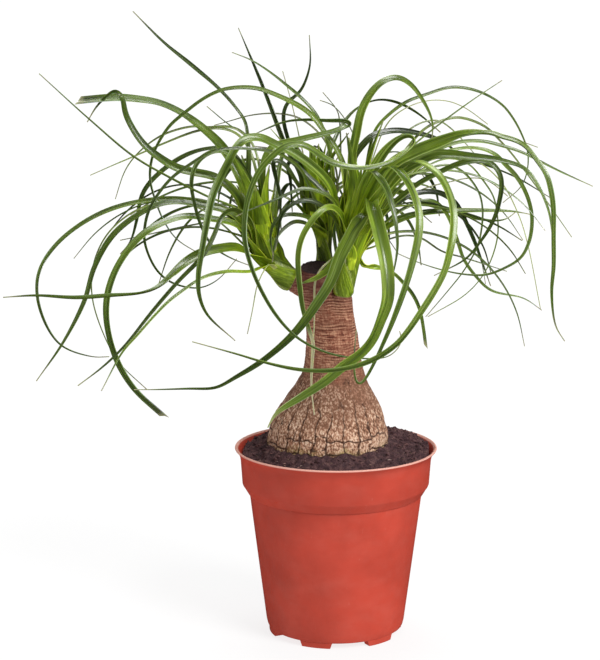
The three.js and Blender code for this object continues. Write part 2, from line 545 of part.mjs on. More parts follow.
function ringRelief(level, height) {
  return level % 2 ? -RING_DEPTH * smoothstep(height, RING_START.low, RING_START.high) : 0;
}

function makeTrunk() {
  const rings = [];
  for (let level = 0; level < TRUNK_LEVELS; level += 1) {
    const { x: lean, y: radius, z: height } = trunkCurve.getPoint(level / (TRUNK_LEVELS - 1));
    const slope = CUT_SLOPE * smoothstep(height, CUT_START, TRUNK_ROUTE.at(-1)[0]);
    const relieved = level > 3 && level < TRUNK_LEVELS - 1;
    rings.push(Array.from({ length: TRUNK_SIDES }, (_, column) => {
      const relief = relieved ? plateRelief(column, level, height) + ringRelief(level, height) : 0;
      const angle = (2 * Math.PI * column) / TRUNK_SIDES;
      const out = radius + relief;
      const y = out * Math.sin(angle);
      return new THREE.Vector3(lean + out * Math.cos(angle), y, height + slope * y);
    }));
  }
  const stubs = Object.values(STUBS).map((points) => stem(points, STUB_SIDES));
  return wasm.Manifold.union([solid(loft(rings)), ...stubs]);
}

function soilHeight(x, y, nearness) {
  const lumps = Math.sin(x * 0.31 + y * 0.17) * Math.cos(y * 0.29 - x * 0.11);
  const crumbs = lumps + 0.5 * Math.sin(x * 0.7 - y * 0.9);
  const away = ((x - SOIL_HEAP.x) ** 2 + (y - SOIL_HEAP.y) ** 2) / SOIL_HEAP.spread ** 2;
  return SOIL_LEVEL + SOIL_MOUND * nearness + SOIL_LUMP * crumbs + SOIL_HEAP.height * Math.exp(-away);
}

// The soil follows the pot's inner wall, and its hollow follows the bulb. Each ring is a radius, how far
// its centre lies from the pot's axis, and a height, or how near the bulb it is on the open surface.
function makeSoil() {
  const clear = 2 * SEAT_GAP;
  const hollow = TRUNK_ROUTE.filter(([height]) => height < SOIL_LEVEL);
  const [, bulbRadius, bulbLean] = TRUNK_ROUTE.find(([height]) => height > SOIL_LEVEL);
  const brim = INNER_WALL.at(-1)[0] - SEAT_GAP;
  const rings = hollow.map(([z, radius, lean]) => ({ radius: radius + clear, lean, z: z - clear }));
  for (let i = 0; i <= SOIL_RINGS; i += 1) {
    const share = i / SOIL_RINGS;
    rings.push({
      radius: lerp(bulbRadius + clear, brim, share),
      lean: lerp(bulbLean, 0, share),
      nearness: (1 - share) ** 2,
    });
  }
  for (const [radius, z] of INNER_WALL.toReversed()) {
    rings.push({ radius: radius - SEAT_GAP, lean: 0, z: z + SEAT_GAP });
  }
  rings.push({ radius: WALL_FOOT_RADIUS - 3.6, lean: 0, z: FOOT_HEIGHT + FLOOR + SEAT_GAP });
  const points = rings.map(({ radius, lean, z, nearness }) => Array.from({ length: POT_SIDES }, (_, j) => {
    const angle = (2 * Math.PI * j) / POT_SIDES;
    const x = lean + radius * Math.cos(angle);
    const y = radius * Math.sin(angle);
    return new THREE.Vector3(x, y, z ?? soilHeight(x, y, nearness));
  }));
  return solid(loft(points.reverse()));
}

function place([px, py, depth]) {
  const right = (px - EYE_MIDDLE.x) / EYE_FOCAL;
  const up = (EYE_MIDDLE.y - py) / EYE_FOCAL;
  const ray = new THREE.Vector3(
    right,
    Math.cos(EYE_PITCH) + up * Math.sin(EYE_PITCH),
    up * Math.cos(EYE_PITCH) - Math.sin(EYE_PITCH),
  );
  return ray.multiplyScalar((depth - EYE.y) / ray.y).add(EYE);
}

function listAt(list, share) {
  const at = clamp(share, 0, 1) * (list.length - 1);
  const i = Math.min(Math.floor(at), list.length - 2);
  return lerp(list[i], list[i + 1], at - i);
}

// Shares of the curve's length, closer together where it bends
function bladeSteps(curve) {
  const fine = 160;
  const reach = curve.getLength();
  const costs = [0];
  for (let i = 1; i <= fine; i += 1) {
    const bend = curve.getTangentAt((i - 1) / fine).angleTo(curve.getTangentAt(i / fine));
    costs.push(costs[i - 1] + reach / fine / BEND_STEP + bend / TURN_STEP);
  }
  const count = Math.max(4, Math.round(costs[fine]));
  return Array.from({ length: count + 1 }, (_, k) => {
    const target = (costs[fine] * k) / count;
    const i = Math.min(costs.findIndex((cost) => cost >= target), fine);
    return i <= 0 ? 0 : (i - 1 + (target - costs[i - 1]) / (costs[i] - costs[i - 1])) / fine;
  });
}

// A channelled blade along a curve. `side` is the direction that its faces are measured from, and `turn`
// says on which side of the curve its upper face lies.
function blade(curve, width, faces, side, turn, isCut) {
  const steps = bladeSteps(curve);
  const rings = steps.map((share) => {
    const at = curve.getPointAt(share);
    const along = curve.getTangentAt(share);
    const level = side(at).addScaledVector(along, -side(at).dot(along)).normalize();
    const out = level.clone().cross(along).multiplyScalar(turn);
    const lean = degToRad(listAt(faces, share));
    const up = out.multiplyScalar(Math.cos(lean)).addScaledVector(level, Math.sin(lean));
    const across = up.clone().cross(along);
    const root = lerp(ROOT_SHARE, 1, smoothstep(share, 0, 0.22));
    const tip = 1 - (1 - (isCut ? CUT_SHARE : 0)) * smoothstep(share, TAPER_START, 1.12) * 1.12;
    const full = Math.max(width * FOLDED_SHARE * root * tip, TIP_WIDTH);
    const later = curve.getTangentAt(Math.min(share + 0.01, 1));
    const earlier = curve.getTangentAt(Math.max(share - 0.01, 0));
    const bend = Math.abs(later.sub(earlier).dot(across)) / (0.02 * curve.getLength());
    const half = Math.min(full, 1.5 / Math.max(bend, 1e-6)) / 2;
    const channel = 2 * half * CHANNEL_SHARE;
    const thread = [[0, -RIB], [half, 0], [-half, 0]];
    const channelled = [[0, -channel - RIB], [half, 0], [0, -channel], [-half, 0]];
    return (width < THREAD_WIDTH ? thread : channelled)
      .map(([a, u]) => at.clone().addScaledVector(across, a).addScaledVector(up, u));
  });
  return solid(loft(rings));
}

function seenBlade(shoot, order, [, width, faces, route, end]) {
  const stemCurve = new THREE.CatmullRomCurve3(STEMS[shoot].map(([x, y, z]) => new THREE.Vector3(x, y, z)));
  const rise = lerp(ROOT_RISE.low, ROOT_RISE.high, order);
  const points = [stemCurve.getPoint(rise - 0.18), stemCurve.getPoint(rise), ...route.map(place)];
  const turning = route.slice(2).reduce((sum, [px, py], i) => {
    const [ax, ay] = route[i];
    const [bx, by] = route[i + 1];
    return sum + (bx - ax) * (py - by) - (by - ay) * (px - bx);
  }, 0);
  const side = (at) => EYE.clone().sub(at).normalize();
  const curve = new THREE.CatmullRomCurve3(points, false, 'centripetal');
  return blade(curve, width, faces, side, Math.sign(turning) || 1, end === 'cut');
}

function seededDraws(seed) {
  let state = seed;
  return () => {
    state = (state * 1664525 + 1013904223) % 4294967296;
    return state / 4294967296;
  };
}

// A leaf that leaves its stem steeply on one bearing and bends over under its own weight
function hiddenBlade(shoot, order, draw) {
  const { bearing, fan, length, start } = HIDDEN_LEAVES[shoot];
  const stemCurve = new THREE.CatmullRomCurve3(STEMS[shoot].map(([x, y, z]) => new THREE.Vector3(x, y, z)));
  const turn = degToRad(bearing + fan * ((((order * GOLDEN_TURN) / 360) % 1) - 0.5));
  const away = new THREE.Vector3(Math.cos(turn), Math.sin(turn), 0);
  const side = away.clone().cross(new THREE.Vector3(0, 0, 1)).negate();
  const reach = lerp(...length, draw()) * lerp(0.68, 1, Math.max(0, away.y));
  const first = degToRad(lerp(...start, draw()));
  const last = -degToRad(lerp(...HIDDEN_DROOP, draw()));
  const sway = lerp(-0.5, 0.5, draw());
  const rise = lerp(ROOT_RISE.low, ROOT_RISE.high, draw());
  const width = lerp(...HIDDEN_WIDTH, draw());
  const twist = lerp(-30, 30, draw());
  const points = [stemCurve.getPoint(rise - 0.18), stemCurve.getPoint(rise)];
  const count = 7;
  for (let i = 1; i <= count; i += 1) {
    const share = (i - 0.5) / count;
    const pitch = lerp(first, last, share ** 0.8);
    const next = points.at(-1).clone();
    next.addScaledVector(away, (Math.cos(pitch) * reach) / count);
    next.addScaledVector(side, (sway * share * reach) / count);
    next.z += (Math.sin(pitch) * reach) / count;
    if (next.z < LOWEST_TIP) {
      break;
    }
    points.push(next);
  }
  const curve = new THREE.CatmullRomCurve3(points, false, 'centripetal');
  return blade(curve, width, [0, twist, 2 * twist], () => side.clone(), 1, false);
}

const SEEN_LEAVES = { left_shoot: LEFT_LEAVES, right_shoot: RIGHT_LEAVES, middle_shoot: MIDDLE_LEAVES };

// The bodies fused into one, with any hollow that this seals filled
function wholeBody(bodies) {
  const shells = wasm.Manifold.union(bodies).simplify(SMALLEST_EDGE).decompose();
  return shells.reduce((largest, shell) => (shell.volume() > largest.volume() ? shell : largest));
}

// Each shoot is its stem with all its leaves grown together. A hidden leaf keeps its place only where it
// stays clear of the trunk and of the shoots beside it.
function makeShoots(trunk) {
  const names = Object.keys(STEMS);
  const shoots = {};
  for (const name of names) {
    const face = STUBS[name].at(-1);
    const lower = STUBS[name].at(-2);
    const start = new THREE.Vector3(...face.slice(0, 3));
    const out = start.clone().sub(new THREE.Vector3(...lower.slice(0, 3))).normalize();
    start.addScaledVector(out, SEAT_GAP);
    const foot = start.clone().addScaledVector(out, STALK_FOOT);
    const width = face[3] - 0.6;
    const stalk = stem([[...start, width], [...foot, width], ...STEMS[name]], STEM_SIDES);
    const leaves = SEEN_LEAVES[name];
    const blades = leaves.map((leaf, i) => seenBlade(name, i / (leaves.length - 1), leaf));
    shoots[name] = wholeBody([stalk, ...blades]);
  }
  for (const name of names) {
    const draw = seededDraws(name.length * 101);
    const beside = names.filter((other) => other !== name).map((other) => shoots[other]);
    const others = wasm.Manifold.union([trunk, ...beside]);
    const kept = [shoots[name]];
    for (let i = 0; i < HIDDEN_LEAVES[name].count; i += 1) {
      const leaf = hiddenBlade(name, i, draw);
      if (leaf.intersect(others).isEmpty()) {
        kept.push(leaf);
      }
    }
    shoots[name] = wholeBody(kept);
  }
  return shoots;
}

function piece(name, body) {
  const mesh = new THREE.Mesh(surface(body), new THREE.MeshStandardMaterial(COLOURS[name]));
  mesh.name = name;
  return mesh;
}

const trunk = makeTrunk();
const palm = new THREE.Group();
palm.add(piece('pot', makePot()));
palm.add(piece('soil', makeSoil()));
palm.add(piece('trunk', trunk));
for (const [name, body] of Object.entries(makeShoots(trunk))) {
  palm.add(piece(name, body));
}

export default palm;
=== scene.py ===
"""A young ponytail palm in its nursery pot: its visible surfaces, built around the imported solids."""

import math
from contextlib import contextmanager

import bpy
import numpy as np
from bpy.props import FloatProperty, FloatVectorProperty, IntProperty, PointerProperty
from mathutils import Matrix, Vector


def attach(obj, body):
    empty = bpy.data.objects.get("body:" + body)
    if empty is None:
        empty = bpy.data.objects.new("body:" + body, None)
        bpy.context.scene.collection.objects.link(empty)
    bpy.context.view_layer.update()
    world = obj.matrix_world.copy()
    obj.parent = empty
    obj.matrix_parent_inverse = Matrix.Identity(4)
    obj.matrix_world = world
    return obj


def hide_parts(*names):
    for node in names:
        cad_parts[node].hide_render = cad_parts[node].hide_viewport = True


bl_info = {
    "name": "Potted ponytail palm",
    "version": (1, 0, 0),
    "blender": (4, 5, 0),
    "location": "3D View > Sidebar > Palm",
    "description": "Builds a young ponytail palm in its nursery pot, piece by piece",
    "category": "Object",
}

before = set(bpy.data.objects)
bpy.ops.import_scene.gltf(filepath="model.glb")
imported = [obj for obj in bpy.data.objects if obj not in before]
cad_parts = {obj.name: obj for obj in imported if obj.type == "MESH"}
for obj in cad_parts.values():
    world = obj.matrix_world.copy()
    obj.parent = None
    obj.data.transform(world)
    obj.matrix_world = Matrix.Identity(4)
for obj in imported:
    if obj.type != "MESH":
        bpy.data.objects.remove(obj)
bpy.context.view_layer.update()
MM = 0.001

# Sizes are in millimetres up to where a mesh is written. The pot's wall runs up outside, over the lip and
# down inside, each point a radius and a height.
POT_HEIGHT = 131.5
POT_WALL = [
    (46.2, 3.8), (47, 4.3), (47.6, 5.6), (48.3, 8.6), (51.2, 31), (54.1, 53.6), (57, 76.3),
    (59.8, 98.6), (59.75, 99.2), (60.7, 99.3), (61.1, 99.8), (63.8, 104.4), (64.5, 105.3),
    (64.85, 106.2), (65.4, 114), (66, 122.5), (66.5, 125.4), (67.6, 127.9), (69, 129.6),
    (69.75, 130.3), (70, 130.8), (69.85, 131.2), (69.4, 131.45), (68.8, 131.5), (68.2, 131.1),
    (66.9, 129.5), (65.7, 127.3), (65, 124.8), (64.8, 122.5), (64.2, 114.5), (63.6, 106.6),
    (59.1, 100.2), (58.7, 99.5), (55.8, 76.8), (52.9, 54.1), (50, 31.5), (47.1, 8.8), (46.4, 6.2),
    (45.3, 5.2),
]
LIP_DEPTH = (1.3, 0.7)
FOOT_HEIGHT = 3.8
FOOT_COUNT = 6
FOOT_TURN = math.radians(-107.8)
FOOT_RING = (40, 46.6)
FOOT_WIDTH = (20.5, 23.5)
FOOT_LEAN = 0.3
FOOT_SUNK = 0.5
PAD_RADIUS = 8
DRAIN_RADIUS = 4
DRAIN_RING = 27
DRAIN_COUNT = 6
DRAIN_DEPTH = 6
DRAIN_LEVEL = 4.5

# Soil: its level and mound, its heap at the back right, the wall that it fills, radius and height, its
# edge at the bulb, and the sizes of its clods and crumbs
SOIL_LEVEL = 126.4
SOIL_MOUND = 8.6
SOIL_BACK = 6.2
SOIL_BACK_BEARING = math.radians(66)
SOIL_LUMP = 0.9
SOIL_HEAP = {"x": 38, "y": 38, "height": 1.6, "spread": 17}
SOIL_WALL = [(44.7, 5.5), (46.8, 9.1), (52.6, 54.4), (58.4, 99.8), (63.3, 106.9), (64.5, 122.8)]
SOIL_BRIM = 64.5
SOIL_EDGE = 42
SOIL_EDGE_LEAN = -6.2
SOIL_SIDES = 420
SOIL_RINGS = 64
HOLLOW_GAP = 0.6
CLOD_SIZE = 4.6
CRUMB_SIZE = 1.9
PERLITE = (0.62, 0.58, 0.5)

# Trunk: height, radius, and how far its centre lies from the pot's axis
TRUNK_ROUTE = [
    (102, 9, -6), (103.5, 21, -6), (108, 31, -6), (116, 38, -6), (125, 40.6, -6), (132, 41.4, -6.2),
    (141, 41, -5.7), (150, 38.8, -5.2), (159.5, 35, -4.1), (168, 30.4, -3.4), (175.5, 25.4, -2.7),
    (184, 21.4, -1.8), (192, 19.6, -1.8), (200, 18.6, -2.2), (210, 17.5, -3), (217, 17, -3.8),
    (224, 16.6, -5.2), (232, 15.4, -8.2), (238, 13.4, -10.8), (243, 12.2, -12.2), (249, 11.6, -13),
    (257, 11.2, -13.4),
]
CUT_SLOPE = 0.27
CUT_START = 228
CUT_TOP = 257

# Bark: the size of the plates, the heights between which each kind of relief or colour fades, how deep
# the relief goes, and its lumps, each a size, a height and a seed
PLATE_COLUMNS = 24
PLATE_WIDTH = 10.5
PLATE_HEIGHT = 9.2
CRACK_WIDTH = 1.15
LEVEL_CRACK_WIDTH = 1.1
SLIT_COLUMNS = 52
SLIT_HEIGHT = 20
CHIP_COLUMNS = 150
CHIP_HEIGHT = 2.3
RING_PITCH = 1.9
CRACK_TOP = (156, 184)
LEVEL_CRACK_TOP = (142, 160)
WAIST = ((132, 150), (178, 194))
BULB_TOP = (174, 194)
RINGS_START = (172, 200)
RINGS_FADE = (238, 250)
CUT_RIM = (246, 251)
NECK_SKIN = (158, 190)
DARK_BAND = ((146, 170), (200, 182))
# Heights between which pale patches on the bulb's lit right side fade in going down: partly real pale bark,
# partly painted light
LIT_PATCH_TOP = (152, 132)
MOSS_TOP = (140, 129)
WOUND = (228, 250)
PLATE_STEP = 0.5
SLIT_STEP = 0.2
CHIP_STEP = 0.22
CRACK_DEPTH = 1.0
WRINKLE_DEPTH = 0.4
CHIP_DEPTH = 0.07
UPRIGHT_DEPTH = 0.05
GROOVE_DEPTH = 0.34
FIBRE_DEPTH = 0.35
BARK_LUMPS = ((19, 0.7, 31), (6, 0.32, 32), (1.6, 0.14, 33))

# The stubs, from inside the neck to the face that each shoot grows from, and the stems above them, both
# as x, y, z and radius
STUBS = {
    "left_shoot": [(-13, 0, 238.5, 7.6), (-22.5, -1, 244.6, 8.4), (-29.6, -1.5, 247.9, 7.6)],
    "right_shoot": [(-4, -2, 190, 8), (1, -3.5, 211, 12), (2.9, -6.5, 226, 9), (4.4, -8, 239, 6.3)],
    "middle_shoot": [(-10, 3, 233, 8), (-8.5, 12, 246, 6.6), (-8, 17, 254, 5.6)],
}
STEMS = {
    "left_shoot": [(-36, -2, 253, 8.6), (-43.5, -2.5, 262.5, 9.4), (-48, -3, 273, 10), (-51, -3, 284, 8)],
    "right_shoot": [(7.6, -8.6, 254, 6.8), (9.5, -9, 268, 8), (11.5, -10, 284, 10.5), (13, -10, 299, 9)],
    "middle_shoot": [(-8, 18.5, 266, 5.4), (-9, 19.5, 279, 7), (-12, 20, 292, 8.6), (-13.5, 20, 303, 7)],
}

# Where the photograph was taken from, its pitch, and its focal length and middle in pixels
EYE = np.array([-24.8, -1400, 476.8])
EYE_PITCH = math.radians(10.66)
EYE_FOCAL = 2075
EYE_MIDDLE = (300, 330)
PICTURE = (600, 660)
SENSOR = 36

# Leaves: a name; the laid-flat width; how far the upper face leans towards the photograph's side, in
# degrees, at even steps from root to tip, or None where it lies level across; the route after the root,
# each point as seen in the photograph, in pixels across and down, with its depth behind the pot's axis in
# millimetres; and how it ends, where that isn't in a plain point. Each list runs from the lowest leaf on
# its stem to the highest.
LEFT_LEAVES = [
    ["hair_left", 1.3, [30, 30], [
        [264, 270, -40], [257, 285, -46], [252, 311, -50], [247, 334, -52]
    ]],
    ["low_drop_twin", 3.8, [30, 40, 40, 50, 50], [
        [250, 271, -28], [226, 271, -42], [203, 277, -54], [184, 289, -64], [166, 303, -74],
        [135, 337, -90], [122, 352, -94], [101, 391, -102]
    ]],
    ["level_spear", 8, [30, 60, 80, 20, -30, -40, -40], [
        [239, 247, -24], [220, 248, -34], [203, 252, -42], [185, 262, -52], [163, 282, -62],
        [153, 288, -68], [138, 292, -74], [107, 295, -84], [76, 297, -92], [36, 295, -104], [3, 297, -114]
    ]],
    ["cropped_hoop", 7, [30, 45, 50, 45, 45], [
        [240, 226, -14], [210, 218, -22], [182, 216, -30], [145, 232, -42], [120, 261, -50],
        [108, 290, -56], [106, 319, -60], [115, 357, -64], [134, 389, -66], [164, 417, -66]
    ], "cut"],
    ["wide_hoop", 5.6, [30, 40, 45, 40, 30], [
        [227, 213, 6], [187, 199, 10], [134, 202, 12], [92, 217, 8], [56, 244, 0], [38, 274, -11],
        [39, 307, -22], [59, 344, -36], [92, 357, -48], [109, 357, -54]
    ]],
    ["grey_thread", 1.6, [30, 40, 40], [
        [230, 218, 16], [201, 223, 24], [175, 228, 30], [149, 234, 36], [120, 240, 42]
    ]],
    ["high_spear", 6.4, [30, 60, 10, 55, 50], [
        [250, 196, -6], [249, 150, -4], [246, 122, 2], [237, 108, 11], [219, 88, 22], [191, 64, 32],
        [164, 42, 40], [133, 11, 48]
    ]],
    ["left_thread", 1.7, [30, 40, 40], [
        [200, 208, 0], [160, 203, 2], [134, 211, 4], [107, 234, 6], [93, 265, 8], [92, 298, 10],
        [104, 336, 14], [119, 363, 16], [147, 390, 18]
    ]],
    ["left_sickle", 6.8, [30, 35, 50, 55, 50], [
        [236, 216, -10], [201, 205, -16], [175, 201, -20], [153, 206, -24], [115, 232, -30],
        [94, 267, -36], [84, 301, -40], [63, 342, -46], [36, 381, -52]
    ]],
    ["low_drop", 4.8, [30, 50, 50, 45, 60], [
        [246, 216, -24], [232, 210, -34], [222, 217, -42], [214, 236, -48], [203, 256, -54],
        [178, 282, -62], [153, 311, -70], [124, 347, -80], [103, 367, -86], [78, 386, -92]
    ]],
    ["needle_left", 2.5, [30, 40, 40], [
        [238, 211, -16], [208, 197, -24], [172, 179, -32], [134, 157, -40], [92, 122, -52], [39, 74, -68]
    ]],
    ["hooked_strap", 8.2, [40, 60, 60, 55, 50], [
        [238, 196, -4], [216, 177, -6], [191, 171, -4], [176, 167, 0], [158, 156, 4], [145, 145, 6],
        [134, 130, 8], [126, 114, 9], [122, 96, 4], [115, 91, 10], [104, 98, 22], [95, 108, 22],
        [87, 122, 20]
    ]],
    ["thread_sweep", 3.2, [30, 40, 40, 30], [
        [260, 186, 12], [250, 150, 18], [238, 134, 22], [222, 128, 24], [199, 130, 26], [159, 145, 30],
        [134, 156, 32], [115, 164, 33], [90, 175, 34]
    ]],
    ["dark_hoop", 6.4, [30, 20, 30, 70, 70], [
        [252, 186, 16], [240, 160, 22], [226, 148, 26], [207, 148, 30], [187, 154, 32], [166, 167, 34],
        [149, 183, 35], [141, 197, 36], [137, 218, 37], [130, 242, 39], [120, 254, 40]
    ]],
    ["thread_hoop", 3, [30, 40, 40, 30], [
        [262, 180, 18], [254, 146, 26], [240, 130, 32], [226, 126, 36], [209, 127, 40], [192, 126, 44],
        [166, 133, 48], [149, 143, 52], [133, 158, 56], [124, 172, 58], [115, 199, 60]
    ]],
    ["cropped_strap", 8.8, [40, 70, 70, 35, 45, 60], [
        [240, 176, 8], [222, 146, 15], [206, 130, 21], [183, 113, 25], [159, 102, 27], [134, 98, 26],
        [115, 97, 24], [78, 100, 20]
    ], "cut"],
    ["inner_curl", 4.6, [30, 50, 60, 50, 40], [
        [252, 186, -6], [238, 160, -10], [220, 150, -14], [203, 156, -18], [194, 168, -22],
        [191, 184, -25], [194, 203, -28], [200, 224, -30], [212, 246, -32], [230, 258, -33], [250, 266, -34]
    ]],
    ["turned_back", 6, [30, 60, 60, 40, 40], [
        [262, 175, -4], [270, 148, -6], [300, 139, -6], [333, 131, -4], [345, 126, -2], [350, 124, 2],
        [345, 121, 6], [330, 121, 8], [304, 120, 10], [285, 122, 12], [262, 131, 14], [250, 137, 14]
    ]],
    ["tip_left", 1.8, [30, 40, 40], [
        [262, 170, 24], [250, 140, 32], [226, 122, 38], [207, 106, 42]
    ]],
]

MIDDLE_LEAVES = [
    ["heart_curl_low", 5.2, [20, 40, 50], [
        [316, 228, 0], [307, 223, -3], [295, 221, -8], [285, 227, -14], [278, 235, -19], [274, 245, -22],
        [272, 262, -23]
    ]],
    ["heart_curl", 5, [20, 50, 50], [
        [322, 226, -4], [309, 217, -10], [295, 214, -16], [283, 215, -20], [275, 220, -22],
        [271, 230, -24], [270, 240, -25], [273, 256, -24]
    ]],
    ["spiral", 4.2, [20, 30, 30, 40, 40, 30], [
        [314, 196, -14], [300, 168, -26], [285, 156, -34], [266, 150, -42], [247, 148, -47],
        [228, 148, -50], [212, 151, -51], [187, 166, -50], [171, 178, -48], [157, 195, -46],
        [149, 209, -42], [145, 223, -37], [144, 240, -33], [149, 257, -30], [157, 271, -28],
        [168, 281, -27], [184, 287, -26], [201, 288, -26], [218, 280, -26], [237, 259, -26]
    ]],
    ["grey_arc", 2.6, [20, 30, 30], [
        [338, 180, 20], [325, 140, 28], [300, 118, 34], [276, 113, 38], [250, 115, 42], [232, 120, 44],
        [214, 125, 46]
    ]],
    ["crossing_needle", 4.8, [20, 40, 40, 30], [
        [334, 190, 14], [330, 150, 12], [317, 115, 12], [300, 96, 14], [287, 85, 18], [272, 73, 24],
        [252, 60, 30], [232, 52, 36]
    ]],
    ["hook_top", 4.4, [20, 40, 60, 30], [
        [302, 180, 26], [288, 140, 32], [283, 116, 36], [287, 103, 38], [300, 91, 40], [307, 76, 42],
        [310, 62, 44], [309, 35, 48]
    ]],
    ["back_thread_low", 1.6, [20, 30, 30], [
        [352, 180, 18], [357, 145, 22], [346, 120, 28], [333, 105, 32], [320, 100, 36]
    ]],
    ["needle_back", 5, [20, 50, 60, 30], [
        [300, 175, 20], [286, 148, 24], [279, 130, 27], [264, 90, 36], [252, 61, 44], [238, 28, 54]
    ]],
    ["back_thread", 2.2, [20, 30, 30], [
        [340, 175, 26], [341, 149, 30], [340, 122, 34], [338, 111, 36], [323, 92, 40]
    ]],
    ["dark_fold", 5, [20, 50, 60], [
        [298, 184, 0], [284, 163, -2], [273, 160, -4], [276, 179, -6], [280, 196, -8], [280, 213, -9],
        [281, 232, -10]
    ]],
    ["back_hair", 1.4, [20, 30, 30], [
        [306, 165, 34], [299, 134, 40], [293, 107, 46], [283, 71, 54]
    ]],
    ["dark_fold_twin", 4.6, [20, 50, 50], [
        [308, 178, 8], [296, 160, 9], [287, 163, 9], [290, 178, 9], [291, 196, 8], [292, 212, 6]
    ]],
]

